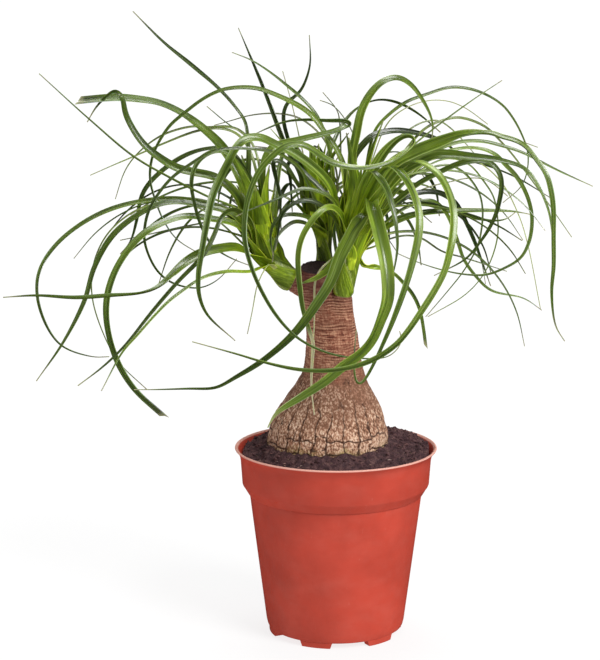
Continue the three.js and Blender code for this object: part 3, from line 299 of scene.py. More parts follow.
RIGHT_LEAVES = [
    ["cropped_drop", 3.8, [10, 50, 50], [
        [362, 266, -8], [379, 267, -4], [394, 273, 0], [403, 282, 2], [413, 294, 4], [420, 309, 6],
        [424, 330, 7], [426, 346, 7]
    ], "cut"],
    ["pale_thread", 2.0, [20, 50, 50], [
        [323, 266, -36], [315, 280, -41], [314, 298, -42], [314, 320, -43], [313, 342, -44]
    ]],
    ["neck_strap", 8.4, [20, 60, 70, 60], [
        [343, 248, -30], [337, 258, -38], [328, 270, -43], [317, 278, -44], [306, 282, -42],
        [300, 284, -38]
    ]],
    ["low_thread", 2.2, [10, 40, 40], [
        [375, 246, 6], [388, 239, 10], [407, 235, 14], [422, 238, 18], [442, 251, 22], [463, 257, 26],
        [507, 271, 34]
    ]],
    ["level_strap", 6.8, [10, 50, 50, 40], [
        [375, 234, 8], [396, 221, 14], [415, 214, 20], [434, 211, 26], [463, 210, 34], [491, 210, 42],
        [514, 211, 48], [530, 214, 52]
    ]],
    ["right_drop", 4.6, [10, 40, 50, 40], [
        [385, 222, 6], [410, 205, 14], [432, 200, 20], [446, 212, 26], [457, 238, 32], [464, 259, 36],
        [476, 276, 40], [491, 290, 44], [524, 298, 52], [542, 310, 56]
    ]],
    ["bright_slip", 6.2, [10, 60, 60, 40], [
        [378, 206, 16], [392, 190, 22], [401, 193, 28], [422, 202, 36], [449, 210, 44], [478, 219, 51],
        [497, 221, 54], [507, 219, 56], [516, 212, 58]
    ]],
    ["dark_hook", 5.8, [10, 20, 20, 60, 60, 45, 30], [
        [384, 206, -4], [410, 176, 0], [432, 157, 4], [458, 148, 6], [481, 148, 8], [497, 155, 10],
        [505, 164, 11], [515, 174, 12], [523, 186, 12], [529, 200, 12], [532, 214, 12], [532, 228, 11],
        [529, 243, 10], [521, 258, 8], [501, 270, 4], [486, 275, 2], [468, 275, 0], [449, 272, -2],
        [419, 263, -6], [398, 254, -8]
    ], "slender"],
    ["silver_bend", 5.6, [10, 40, 50, 60, 60, 50, 30], [
        [384, 212, -12], [405, 193, -14], [420, 182, -15], [437, 173, -17], [454, 165, -18],
        [468, 161, -20], [480, 160, -21], [490, 162, -22], [497, 168, -23], [501, 176, -24],
        [502, 187, -24], [500, 199, -24], [497, 212, -24], [491, 226, -23], [482, 240, -22],
        [466, 259, -20], [434, 276, -18]
    ]],
    ["right_drop_dark", 6, [10, 50, 60, 50], [
        [385, 212, 14], [412, 194, 22], [438, 192, 30], [455, 202, 36], [464, 217, 40], [472, 235, 44],
        [478, 250, 47], [491, 286, 53]
    ]],
    ["far_hair", 1.3, [10, 40, 40], [
        [396, 205, 30], [425, 188, 38], [452, 181, 44], [466, 178, 48], [480, 178, 52], [491, 182, 55],
        [508, 196, 60]
    ]],
    ["under_arch_low", 5.4, [20, 40, 50, 40], [
        [336, 218, -26], [328, 210, -28], [314, 201, -31], [302, 200, -33], [289, 206, -35],
        [281, 216, -36], [278, 232, -36], [275, 250, -36]
    ]],
    ["hanging_strip", 5.4, [20, 60, 60, 60, 40], [
        [342, 214, -30], [330, 206, -36], [318, 213, -42], [303, 234, -45], [298, 252, -45],
        [298, 270, -44], [300, 290, -42], [303, 311, -40], [311, 336, -38], [313, 344, -37], [312, 359, -38],
        [311, 387, -44], [314, 415, -52]
    ], "faded"],
    ["broad_level", 9.2, [30, 60, 70, 62, 28, 26, 30], [
        [380, 196, -18], [400, 172, -22], [415, 163, -26], [434, 154, -30], [453, 154, -34],
        [472, 156, -38], [491, 158, -41], [506, 161, -44], [520, 165, -46], [529, 171, -48],
        [537, 182, -50], [544, 196, -52], [550, 214, -54], [552, 228, -55], [554, 250, -56]
    ]],
    ["front_strap", 12, [None, None, None, 76, 76, 62, 42, 42, 52, 60, 60], [
        [369, 214, -40], [371, 202, -45], [372, 199, -52], [373, 206, -62], [377, 221, -71], [381, 237, -79],
        [385, 254, -86], [388, 277, -92], [388, 300, -96], [382, 319, -99], [373, 340, -101],
        [361, 354, -102], [344, 366, -102], [325, 382, -101], [300, 398, -99], [276, 414, -96],
        [268, 428, -95]
    ], "broad"],
    ["trunk_crosser", 12.5, [None, None, None, 75, 66, 58, 50, 42, 32, 22, 22], [
        [368, 218, -42], [367, 212, -49], [357, 224, -56], [349, 239, -60], [341, 254, -63],
        [330, 283, -66], [318, 302, -68], [296, 332, -71], [264, 360, -73], [235, 378, -74],
        [216, 388, -75], [188, 389, -76], [153, 390, -77], [134, 390, -78]
    ], "slender"],
    ["thin_bow", 2.4, [10, 40, 40, 30], [
        [384, 204, -8], [412, 176, -6], [440, 165, -4], [451, 165, -2], [464, 172, 0], [473, 182, 2],
        [480, 194, 4], [483, 210, 6], [482, 228, 8], [478, 246, 8], [464, 271, 8], [449, 290, 6],
        [426, 317, 2]
    ]],
    ["dark_band", 6, [20, 50, 50], [
        [334, 205, -4], [319, 186, -2], [304, 172, 0], [290, 160, 2], [272, 149, 4], [255, 146, 5]
    ]],
    ["broad_twist", 10.5, [35, 60, 75, 72, 12, 18, 30, 35, 38, 40], [
        [374, 192, -24], [392, 164, -30], [415, 151, -36], [438, 142, -42], [459, 134, -48],
        [478, 131, -53], [493, 132, -57], [503, 136, -60], [512, 138, -62], [526, 145, -66],
        [537, 159, -69], [547, 174, -72], [552, 193, -74], [554, 210, -75], [554, 238, -76],
        [554, 267, -76], [552, 292, -76], [556, 326, -74], [565, 341, -72]
    ]],
    ["front_scythe", 11, [None, None, None, 44, 42, 50, 50, 50], [
        [380, 192, -44], [400, 168, -56], [415, 160, -64], [432, 168, -74], [442, 178, -81],
        [451, 197, -89], [454, 212, -95], [454, 229, -100], [451, 248, -105], [445, 271, -109],
        [434, 292, -112], [422, 311, -114], [409, 330, -116], [396, 345, -116], [371, 361, -115],
        [338, 370, -112], [300, 370, -108], [262, 362, -104], [239, 355, -102], [192, 342, -98]
    ], "slender"],
    ["right_spear", 5, [10, 40, 40, 40], [
        [386, 196, 4], [412, 168, 8], [440, 148, 10], [462, 141, 12], [484, 141, 14], [501, 145, 16],
        [520, 151, 18], [558, 170, 24], [593, 186, 32]
    ]],
    ["folded_drop", 8.6, [20, 60, 50, 60, 60, 40], [
        [336, 200, -14], [330, 184, -14], [314, 167, -16], [293, 152, -19], [276, 144, -22],
        [261, 137, -26], [246, 138, -30], [236, 147, -34], [228, 162, -38], [221, 175, -40],
        [212, 196, -46], [207, 220, -53], [201, 254, -62], [198, 276, -66], [199, 296, -67],
        [207, 315, -66], [235, 341, -64]
    ]],
    ["thin_bow_far", 1.7, [10, 40, 40, 30], [
        [390, 196, 24], [420, 170, 32], [448, 158, 38], [469, 164, 42], [484, 181, 46], [494, 197, 49],
        [498, 218, 51], [498, 236, 52], [491, 261, 51], [480, 280, 49], [464, 296, 46], [428, 317, 40]
    ]],
    ["under_arch", 4.6, [20, 40, 40, 30], [
        [338, 205, -24], [328, 195, -27], [304, 188, -32], [287, 194, -36], [266, 203, -40],
        [251, 209, -42], [236, 216, -44]
    ]],
    ["long_sweep", 7.6, [20, 60, 80, 15, 25, 50, 60, 60, 60, 55, 50, 45, 40, 40], [
        [364, 190, -26], [374, 168, -30], [386, 150, -34], [400, 138, -38], [410, 136, -42],
        [414, 141, -46], [405, 151, -52], [390, 161, -56], [368, 167, -60], [347, 166, -64],
        [328, 160, -67], [314, 150, -70], [302, 144, -72], [285, 146, -74], [271, 157, -76],
        [259, 171, -78], [251, 188, -80], [246, 206, -82], [244, 225, -84], [245, 244, -86],
        [256, 280, -90], [277, 317, -92], [300, 340, -92], [334, 355, -89], [371, 359, -85],
        [388, 357, -83], [398, 349, -80], [402, 340, -77], [400, 331, -74]
    ], "slender"],
    ["tall_arch", 9, [10, 50, 60, 50, 40, 40], [
        [351, 190, -8], [352, 153, -4], [356, 134, -2], [361, 111, 2], [371, 92, 6], [384, 80, 10],
        [398, 77, 14], [411, 84, 18], [422, 98, 22], [430, 113, 26], [433, 124, 28], [432, 143, 30]
    ]],
    ["hair_drop", 1.5, [10, 30, 30], [
        [395, 186, 36], [430, 160, 46], [470, 158, 56], [500, 180, 64], [519, 215, 70], [528, 244, 73],
        [541, 310, 76]
    ]],
    ["high_hoop", 4.8, [20, 60, 60, 40, 40, 40, 30], [
        [347, 180, -2], [338, 151, 2], [325, 132, 4], [312, 115, 6], [300, 106, 8], [280, 96, 10],
        [258, 88, 12], [237, 87, 13], [220, 90, 14], [202, 99, 15], [185, 112, 16], [169, 126, 16],
        [154, 151, 14], [150, 167, 12], [150, 182, 10], [155, 200, 6], [163, 220, 2], [176, 239, -2],
        [199, 254, -6]
    ]],
    ["front_bow", 10, [None, None, None, 62, 52, 42, 36], [
        [372, 186, -40], [384, 168, -50], [394, 166, -58], [405, 177, -68], [413, 191, -75],
        [418, 206, -81], [420, 220, -86], [419, 235, -90], [415, 254, -94], [409, 276, -98],
        [401, 300, -101], [392, 324, -103], [382, 347, -104], [373, 366, -104], [365, 380, -104],
        [360, 385, -104], [356, 382, -101], [354, 372, -98], [354, 353, -96], [356, 330, -95]
    ], "slender"],
    ["outer_thread", 2.8, [10, 40, 50, 30, 30], [
        [384, 180, 16], [405, 150, 22], [425, 128, 28], [442, 120, 32], [457, 117, 36], [472, 120, 40],
        [488, 128, 44], [497, 137, 47], [510, 151, 50], [535, 184, 58], [547, 201, 62], [572, 237, 68]
    ]],
    ["right_hoop", 3.7, [10, 40, 45, 35, 30], [
        [364, 180, 10], [370, 145, 16], [376, 128, 20], [390, 113, 24], [407, 101, 27], [426, 94, 30],
        [449, 87, 34], [468, 88, 38], [486, 94, 42], [503, 105, 46], [514, 119, 50], [522, 134, 53],
        [528, 151, 56], [528, 168, 58], [522, 186, 60], [503, 203, 60]
    ]],
    ["hair_tip", 1.3, [10, 30, 30], [
        [385, 178, 26], [410, 152, 34], [440, 136, 42], [470, 129, 50], [500, 134, 58], [538, 147, 66]
    ]],
    ["front_bow_thin", 7, [None, None, None, None, 62, 52, 35, 20, 20], [
        [362, 186, -42], [371, 170, -52], [381, 179, -62], [388, 191, -68], [391, 201, -72],
        [395, 215, -76], [397, 230, -79], [398, 245, -81], [396, 262, -83], [389, 292, -84]
    ]],
    ["grey_bow", 2.1, [10, 40, 40], [
        [376, 170, 22], [392, 143, 28], [411, 128, 34], [422, 122, 38], [438, 120, 42], [451, 128, 46],
        [463, 140, 50], [480, 160, 56]
    ]],
    ["hair_arc", 1.3, [10, 30, 30], [
        [372, 160, 32], [388, 122, 40], [407, 107, 46], [430, 100, 52], [449, 101, 56], [466, 108, 60],
        [488, 124, 66]
    ]],
    ["needle_right", 1.9, [10, 40, 40], [
        [380, 182, 6], [400, 157, 12], [434, 128, 20], [472, 100, 30], [502, 80, 38]
    ]],
    ["dark_arch", 7.6, [10, 50, 50, 50], [
        [352, 180, 6], [353, 158, 8], [363, 144, 10], [371, 136, 12], [386, 131, 16], [400, 130, 20],
        [419, 133, 26], [434, 137, 30], [446, 143, 34], [455, 151, 37], [464, 163, 40]
    ]],
]

SHOOT_LEAVES = {"left_shoot": LEFT_LEAVES, "right_shoot": RIGHT_LEAVES, "middle_shoot": MIDDLE_LEAVES}

# The leaves that the photograph hides, placed by rule round each stem: how many are drawn, which of them
# are left out, the bearing they fan about and how widely, how long they are and how steeply they start
HIDDEN_LEAVES = {
    "left_shoot": {
        "count": 13, "gone": (0, 5), "bearing": 118, "fan": 136, "length": (140, 240), "start": (40, 78),
    },
    "right_shoot": {
        "count": 15, "gone": (5, 7, 10, 13), "bearing": 66, "fan": 132, "length": (140, 240),
        "start": (38, 80),
    },
    "middle_shoot": {
        "count": 18, "gone": (0, 2, 3, 5, 8, 10, 12, 13, 16), "bearing": 90, "fan": 220,
        "length": (150, 255), "start": (35, 80),
    },
}
HIDDEN_WIDTH = (5, 9)
HIDDEN_DROOP = (35, 88)
HIDDEN_SWAY = (-0.5, 0.5)
HIDDEN_TWIST = (-30, 30)
# Hidden leaves are drawn darker, as painted shade inside the plant
HIDDEN_TONES = (-0.9, -0.2)
SIDEWAYS_SHARE = 0.68
HIDDEN_STEPS = 7
LOWEST_TIP = 150
GOLDEN_TURN = 137.508

# The short leaves that have just opened in the heart of each shoot
YOUNG_LEAVES = 9
YOUNG_LENGTH = (34, 62)
YOUNG_WIDTH = (6, 10)
YOUNG_SPREAD = (0.1, 0.55)
YOUNG_RISE = (0.6, 0.97)
YOUNG_TONES = (-0.3, 0.5)

# Leaf section: shares of the laid-flat width, angles in degrees, and sizes
FOLDED_SHARE = 0.76
ROOT_SHARE = 1.6
ROOT_LENGTH = 0.22
CUT_SHARE = 0.85
CUT_START_SHARE = 0.985
CUT_SLANT = 2.4
ROOT_RISE = (0.29, 0.86)
ROOT_REACH = 3.5
TIP_WIDTH = 0.45
OPENING = 41
FLAT_OPENING = 15
THREAD_WIDTH = 3
HIDDEN_SHARE = 0.56
CREASE = 0.14
RIPPLE = 0.05
RIPPLE_LENGTH = 8
BEND_ROOM = 2.0
BASE_FADE = (34, 5.4)
LEAF_SPACING = 5
LEAF_BEND_STEP = math.radians(7)
LEAF_COLUMNS = {"thread": 5, "hidden": 7, "blade": 9}

# How each kind of end narrows, and how dry it gets: how far, and between which shares of the leaf
TAPER = {"": 3.2, "cut": 3.2, "slender": 1.7, "faded": 3.2, "broad": 6.5}
DRY_ENDS = {"cut": (0.5, 0.988, 0.994), "faded": (0.95, 0.70, 0.74)}
DRY_TIP = (0.5, 0.92, 1)

# Sheath: how far below its leaf it starts, as a share of the stem, how much tighter each inner one lies,
# how wide it is as a share of the blade's width, and how far along the leaf it has turned into the blade,
# in millimetres and for each millimetre of width, or where the leaf folds over
SHEATH_REACH = 0.4
SHEATH_LAYER = 0.8
SHEATH_SHARE = 0.72
SHEATH_BLEND = (12, 3.6)
FOLD_BLEND = 9

# Old sheaths round each stem: how thick it is under them, how many wrap it, how steeply and how boldly,
# and its foot and its top, each a rise or none and a share of the radius there
STEM_CORE = 0.9
SHEATH_STEPS = 3
SHEATH_STEP_RISE = 26
SHEATH_STEP = 0.75
CORE_FOOT = ((-2.4, 0.4), (-1.6, 0.7), (0.3, 0.96), (3.2, 1.1))
CORE_TOP = (1.05, 1.0, 0.95, 0.75)

# How much paler or darker leaves are, by draw, by a word in their names and by shoot, where the darker leaves
# under, behind and in the heart of the others, and the middle shoot, are partly painted shade; how dry they
# are, and how the lines along a blade tint it
SEEN_TONES = (-0.65, 0.5)
NAME_TONES = {
    "dark": -0.6, "bright": 0.6, "grey": -0.3, "back": -0.4, "cropped_strap": 0.6, "cropped_hoop": 0.45,
    "drop_twin": -0.2, "level_spear": -0.25, "inner": -0.3, "spiral": -0.3, "scythe": -0.35,
    "crosser": 0.15, "under": -0.4, "heart": -0.4, "broad": 0.15, "neck": 0.5, "front_bow": -0.35,
    "front_strap": 0.1,
}
SHOOT_TONES = {"left_shoot": -0.05, "right_shoot": 0.0, "middle_shoot": -0.5}
DRY_SHARES = {"": 0.0, "pale": 0.9, "hair": 0.4, "grey": 0.2, "thread": 0.12}
# Tints that the lines along a blade multiply its colour by: painted shade, real veins with painted light, and
# real pale margins
PAINTED_SHADE_TINT = (0.36, 0.42, 0.45)
VEIN_AND_LIGHT_TINT = (1.8, 1.65, 3.2)
MARGIN_TINT = (2.4, 2.0, 6.0)

# Stage, in metres: the floor's side, how far the camera sees, and where the lights stand and how they are
# turned from straight down, in degrees about X, Y and Z
FLOOR_SIDE = 60
CAMERA_REACH = 200
LIGHT_PLACE = (1, -1.2, 1.6)
KEY_TURN = (48, 6, 38)
TOP_TURN = (-14, 0, 0)


def mix(a, b, share):
    return a + (b - a) * share


def smoothstep(value, low, high):
    share = np.clip((np.asarray(value, float) - low) / (high - low), 0, 1)
    return share * share * (3 - 2 * share)


def unit(vectors):
    return vectors / np.maximum(np.linalg.norm(vectors, axis=-1, keepdims=True), 1e-9)


def chance(cells, seed):
    """A repeatable number from 0 to 1 for each cell, given by three whole numbers."""
    x, y, z = (np.asarray(part).astype(np.int64) for part in cells)
    mixed = (x * 73856093) ^ (y * 19349663) ^ (z * 83492791) ^ (seed * 2654435761)
    mixed = ((mixed ^ (mixed >> 13)) * 1274126177) & 0xFFFFFFFF
    mixed = ((mixed ^ (mixed >> 15)) * 2246822519) & 0xFFFFFFFF
    return ((mixed ^ (mixed >> 16)) & 0xFFFFFF) / 0xFFFFFF


def noise(points, size, seed):
    """Smooth noise from -1 to 1 at points, whose lumps are about `size` across."""
    scaled = np.asarray(points, float) / size
    cell = np.floor(scaled).astype(np.int64)
    share = scaled - cell
    share = share * share * (3 - 2 * share)
    total = 0
    for dx in (0, 1):
        for dy in (0, 1):
            for dz in (0, 1):
                corner = (cell[..., 0] + dx, cell[..., 1] + dy, cell[..., 2] + dz)
                weight = 1
                for axis, step in enumerate((dx, dy, dz)):
                    weight = weight * (share[..., axis] if step else 1 - share[..., axis])
                total = total + weight * chance(corner, seed)
    return 2 * total - 1


def cracks(across, up, seed, wrap=0, jitter=0.8):
    """How far each point of a plane is from the edges between scattered cells, 0 on an edge, with a number
    for the cell. `wrap` cells across close a ring."""
    column, row = np.floor(across).astype(np.int64), np.floor(up).astype(np.int64)
    nearest = np.full(across.shape, 9.0)
    second = np.full(across.shape, 9.0)
    owner = np.zeros(across.shape)
    for dx in (-1, 0, 1):
        for dy in (-1, 0, 1):
            x, y = column + dx, row + dy
            home = x % wrap if wrap else x
            cx = x + 0.5 + jitter * (chance((home, y, 0 * y), seed) - 0.5)
            cy = y + 0.5 + jitter * (chance((home, y, 0 * y + 1), seed) - 0.5)
            away = ((across - cx) ** 2 + (up - cy) ** 2) ** 0.5
            closer = away < nearest
            second = np.where(closer, nearest, np.minimum(second, away))
            owner = np.where(closer, chance((home, y, 0 * y + 2), seed), owner)
            nearest = np.where(closer, away, nearest)
    return second - nearest, owner


def curve_at(points, share):
    """Points of a centripetal Catmull-Rom curve. The share runs evenly over its segments."""
    points = np.asarray(points, float)
    knots = np.vstack([2 * points[0] - points[1], points, 2 * points[-1] - points[-2]])
    at = np.clip(np.atleast_1d(np.asarray(share, float)), 0, 1) * (len(points) - 1)
    first = np.minimum(at.astype(int), len(points) - 2)
    t = (at - first)[:, None]
    a, b, c, d = (knots[first + k] for k in range(4))
    ab, bc, cd = (np.maximum(np.linalg.norm(q - p, axis=1), 1e-6)[:, None] ** 0.5
                  for p, q in ((a, b), (b, c), (c, d)))
    leave = ((b - a) / ab - (c - a) / (ab + bc) + (c - b) / bc) * bc
    reach = ((c - b) / bc - (d - b) / (bc + cd) + (d - c) / cd) * bc
    return b + leave * t + (3 * (c - b) - 2 * leave - reach) * t ** 2 + (2 * (b - c) + leave + reach) * t ** 3


def heading(turn):
    """The level direction at a bearing, in radians anticlockwise from the right."""
    return np.array([math.cos(turn), math.sin(turn), 0])


def place(point):
    """Where a point that the photograph shows at a pixel lies, at its depth behind the pot's axis."""
    right = (point[0] - EYE_MIDDLE[0]) / EYE_FOCAL
    up = (EYE_MIDDLE[1] - point[1]) / EYE_FOCAL
    ray = np.array([
        right,
        math.cos(EYE_PITCH) + up * math.sin(EYE_PITCH),
        up * math.cos(EYE_PITCH) - math.sin(EYE_PITCH),
    ])
    return EYE + ray * (point[2] - EYE[1]) / ray[1]


# Mesh helpers

def deselect():
    bpy.ops.object.select_all(action="DESELECT")


def pick(pieces):
    deselect()
    for piece in pieces:
        piece.select_set(True)
    bpy.context.view_layer.objects.active = pieces[0]


def apply_modifier(piece, kind, **settings):
    pick([piece])
    modifier = piece.modifiers.new(kind.title(), kind)
    for name, value in settings.items():
        setattr(modifier, name, value)
    bpy.ops.object.modifier_apply(modifier=modifier.name)


def join(name, pieces):
    pick(pieces)
    if len(pieces) > 1:
        bpy.ops.object.join()
    pieces[0].name = pieces[0].data.name = name
    return pieces[0]


def corner_values(piece, field):
    flat = np.empty(3 * len(piece.data.vertices), np.float32)
    piece.data.vertices.foreach_get(field, flat)
    return flat.reshape(-1, 3).astype(float)


def corners(piece):
    return corner_values(piece, "co") / MM


def normals(piece):
    return corner_values(piece, "normal")


def move_corners(piece, points):
    piece.data.vertices.foreach_set("co", (np.asarray(points) * MM).astype(np.float32).ravel())
    piece.data.update()


def store(piece, name, values):
    attribute = piece.data.attributes.get(name) or piece.data.attributes.new(name, "FLOAT", "POINT")
    attribute.data.foreach_set("value", np.asarray(values, np.float32).ravel())


@contextmanager
def edit_mode():
    """Edit mode on the active piece, with all of it picked."""
    bpy.ops.object.mode_set(mode="EDIT")
    bpy.ops.mesh.select_all(action="SELECT")
    yield
    bpy.ops.object.mode_set(mode="OBJECT")


def sheet_of(name, rows):
    """A grid primitive whose corners are laid on rows of points."""
    deselect()
    bpy.ops.mesh.primitive_grid_add(x_subdivisions=rows.shape[1] - 1, y_subdivisions=rows.shape[0] - 1)
    made = bpy.context.object
    made.name = name
    move_corners(made, rows.reshape(-1, 3))
    return made


def skin(name, rings):
    """A closed skin over rings of points, each turning anticlockwise seen from its far end."""
    rings = np.asarray(rings, float)
    made = sheet_of(name, np.concatenate([rings, rings[:, :1]], axis=1))
    with edit_mode():
        bpy.ops.mesh.remove_doubles(threshold=1e-7)
        bpy.ops.mesh.fill_holes(sides=0)
    return made


def tube(name, points, sides, levels):
    """A round stem through points of x, y, z and radius."""
    route = curve_at(points, np.linspace(0, 1, levels))
    centres, radii = route[:, :3], route[:, 3]
    along = unit(np.gradient(centres, axis=0))
    level = unit(np.cross(along, (0, 1, 0)))
    forward = np.cross(along, level)
    turn = np.linspace(0, 2 * math.pi, sides, endpoint=False)
    spokes = np.cos(turn)[None, :, None] * level[:, None] + np.sin(turn)[None, :, None] * forward[:, None]
    return skin(name, centres[:, None] + spokes * radii[:, None, None])


def finish_piece(piece, node, materials, angle=None):
    """Give a piece its materials and smooth faces, hang it from the root, and hide the solid that it stands
    for.
    """
    piece.data.materials.clear()
    for material in materials:
        piece.data.materials.append(material)
    pick([piece])
    if angle is None:
        bpy.ops.object.shade_smooth()
    else:
        bpy.ops.object.shade_smooth_by_angle(angle=math.radians(angle))
    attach(piece, "root")
    if node:
        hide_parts(node)


# Material helpers

class Value:
    """A number, colour or place that a material works out. Arithmetic with it adds a node for each step."""

    def __init__(self, finish, socket):
        self.finish = finish
        self.socket = socket

    def __add__(self, other):
        return self.finish.calc("ADD", self, other)

    def __sub__(self, other):
        return self.finish.calc("SUBTRACT", self, other)

    def __mul__(self, other):
        return self.finish.calc("MULTIPLY", self, other)

    def __pow__(self, other):
        return self.finish.calc("POWER", self, other)

    def __abs__(self):
        return self.finish.calc("ABSOLUTE", self)


class Finish:
    """A material in the making, with a method for each kind of node that the materials share."""

    def __init__(self, name, **sockets):
        self.material = bpy.data.materials.new(name)
        self.material.use_nodes = True
        self.tree = self.material.node_tree
        self.shader = self.tree.nodes["Principled BSDF"]
        for socket, value in sockets.items():
            self.shader.inputs[socket.replace("_", " ")].default_value = value
        self.where = self.node("TexCoord", "Object")

    def node(self, kind, outputs, settings=(), inputs=()):
        """A new node's output, or a list of them where `outputs` is a tuple of their names."""
        made = self.tree.nodes.new("ShaderNode" + kind)
        for name, value in dict(settings).items():
            setattr(made, name, value)
        for name, value in dict(inputs).items():
            if isinstance(value, Value):
                self.tree.links.new(value.socket, made.inputs[name])
            else:
                made.inputs[name].default_value = value
        if isinstance(outputs, tuple):
            return [Value(self, made.outputs[name]) for name in outputs]
        return Value(self, made.outputs[outputs])

    def calc(self, operation, a, b=0.0):
        return self.node("Math", 0, {"operation": operation}, {0: a, 1: b})

    def field(self, name):
        """A number that the mesh stores at each corner."""
        return self.node("Attribute", "Fac", {"attribute_name": name})

    def axes(self, vector):
        return self.node("SeparateXYZ", ("X", "Y", "Z"), inputs={"Vector": vector})

    def stretched(self, scale):
        return self.node("Mapping", "Vector", inputs={"Vector": self.where, "Scale": scale})

    def grain(self, scale, detail=3.0, roughness=0.55, stretch=None, at=None):
        where = at or (self.stretched(stretch) if stretch else self.where)
        inputs = {"Vector": where, "Scale": scale, "Detail": detail, "Roughness": roughness}
        return self.node("TexNoise", "Fac", inputs=inputs)

    def span(self, value, low, high, to_low=0.0, to_high=1.0):
        """A value eased from one range to another, and held at its ends."""
        inputs = {"Value": value, "From Min": low, "From Max": high, "To Min": to_low, "To Max": to_high}
        return self.node("MapRange", 0, {"interpolation_type": "SMOOTHSTEP"}, inputs)

    def rise(self, height, heights, to_low=0.0, to_high=1.0):
        """A height in metres eased between two heights in millimetres."""
        return self.span(height, heights[0] * MM, heights[1] * MM, to_low, to_high)

    def blend(self, share, a, b, how="MIX"):
        return self.node("Mix", 2, {"data_type": "RGBA", "blend_type": how}, {0: share, 6: a, 7: b})

    def ramp(self, value, stops):
        made = self.node("ValToRGB", "Color", inputs={"Fac": value})
        colours = made.socket.node.color_ramp
        for _ in stops[2:]:
            colours.elements.new(0.5)
        for element, (position, colour) in zip(colours.elements, stops):
            element.position, element.color = position, rgba(colour)
        return made

    def bump(self, height, strength, distance):
        inputs = {"Height": height, "Strength": strength, "Distance": distance}
        return self.node("Bump", "Normal", inputs=inputs)

    def done(self, colour, roughness=None, normal=None):
        """Link the finished colour, dullness and relief to the shader, and return the material."""
        for name, value in (("Base Color", colour), ("Roughness", roughness), ("Normal", normal)):
            if value is not None:
                self.tree.links.new(value.socket, self.shader.inputs[name])
        return self.material


def rgba(colour, lift=1.0):
    return (*(channel * lift for channel in colour[:3]), 1)


def tint(label, description, default):
    return FloatVectorProperty(
        name=label, description=description, subtype="COLOR", size=3, min=0, max=1, default=default)


def amount(label, description, default, most=1, **kind):
    return FloatProperty(name=label, description=description, default=default, min=0, max=most, **kind)


# Pot

def turned_wall(profile, sides):
    """A wall of revolution: a circle, extruded and resized from point to point of its profile."""
    deselect()
    radius, height = profile[0]
    bpy.ops.mesh.primitive_circle_add(vertices=sides, radius=radius * MM)
    wall = bpy.context.object
    wall.data.transform(Matrix.Translation((0, 0, height * MM)))
    with edit_mode():
        for (radius, height), (next_radius, next_height) in zip(profile, profile[1:]):
            rise = (next_height - height) * MM
            bpy.ops.mesh.extrude_region_move(TRANSFORM_OT_translate={"value": (0, 0, rise)})
            widen = next_radius / radius
            bpy.ops.transform.resize(value=(widen, widen, 1), center_override=(0, 0, next_height * MM))
        bpy.ops.mesh.select_all(action="SELECT")
        bpy.ops.mesh.fill_holes(sides=0)
        bpy.ops.mesh.normals_make_consistent(inside=False)
    return wall


def foot(bearing):
    """One foot: a short length of a ring, wider at the top, that the wall stands on."""
    inner, outer = FOOT_RING
    low, high = (width / 2 for width in FOOT_WIDTH)
    top = FOOT_HEIGHT + FOOT_SUNK
    section = ((inner, 0, low), (outer - FOOT_LEAN, 0, low), (outer, top, high), (inner, top, high))
    rings = []
    for share in np.linspace(-1, 1, 9):
        turns = [(radius, bearing + share * half / outer, height) for radius, height, half in section]
        rings.append([(radius * math.cos(turn), radius * math.sin(turn), height)
                      for radius, turn, height in turns])
    made = skin("foot", rings)
    with edit_mode():
        bpy.ops.mesh.normals_make_consistent(inside=False)
    return made


def post(radius, depth, at, sides):
    """An upright cylinder round a place, sized in millimetres."""
    deselect()
    bpy.ops.mesh.primitive_cylinder_add(
        vertices=sides, radius=radius * MM, depth=depth * MM, location=[part * MM for part in at])
    return bpy.context.object


def cut_with(piece, tool, operation):
    apply_modifier(piece, "BOOLEAN", operation=operation, object=tool, solver="EXACT")
    bpy.data.objects.remove(tool)


def plastic_material(look):
    make = Finish("terracotta_plastic", Specular_IOR_Level=0.3)
    height = make.axes(make.where)[2]
    clouds = make.grain(26, 4)
    flow = make.grain(1, 3, stretch=(60, 60, 14))
    tone = make.blend(make.span(clouds, 0.3, 0.7), rgba(look.colour, 0.88), rgba(look.colour, 1.12))
    tone = make.blend(flow * 0.3, tone, rgba(look.colour, 0.8))
    bloom = make.span(make.grain(48, 3, stretch=(1, 1, 1.8)), 0.4, 0.8, 0, 0.035)
    tone = make.blend(bloom, tone, rgba(look.lip_colour))
    scuffs = make.span(make.grain(1, 5, 0.7, (500, 500, 120)), 0.64, 0.8, 0, 0.25)
    tone = make.blend(scuffs, tone, rgba(look.lip_colour))
    lip = make.rise(height, [POT_HEIGHT - depth for depth in LIP_DEPTH], 0, 0.9)
    tone = make.blend(lip, tone, rgba(look.lip_colour))
    sheen = make.span(make.grain(160, 3), 0.3, 0.7, look.roughness - 0.06, look.roughness + 0.1)
    relief = make.grain(1500, 2) + make.grain(1, 2, stretch=(40, 40, 16)) * 6
    return make.done(tone, sheen, make.bump(relief, 0.25, 0.0002))


class PotSettings(bpy.types.PropertyGroup):
    sides: IntProperty(name="Sides", description="Faces round the wall", default=240, min=48, max=400)
    colour: tint("Plastic", "Colour of the wall", (0.50, 0.054, 0.030))
    lip_colour: tint("Lip", "Paler colour where the lip is thin or scuffed", (0.78, 0.42, 0.34))
    roughness: amount("Roughness", "How dull the plastic is", 0.42, subtype="FACTOR")


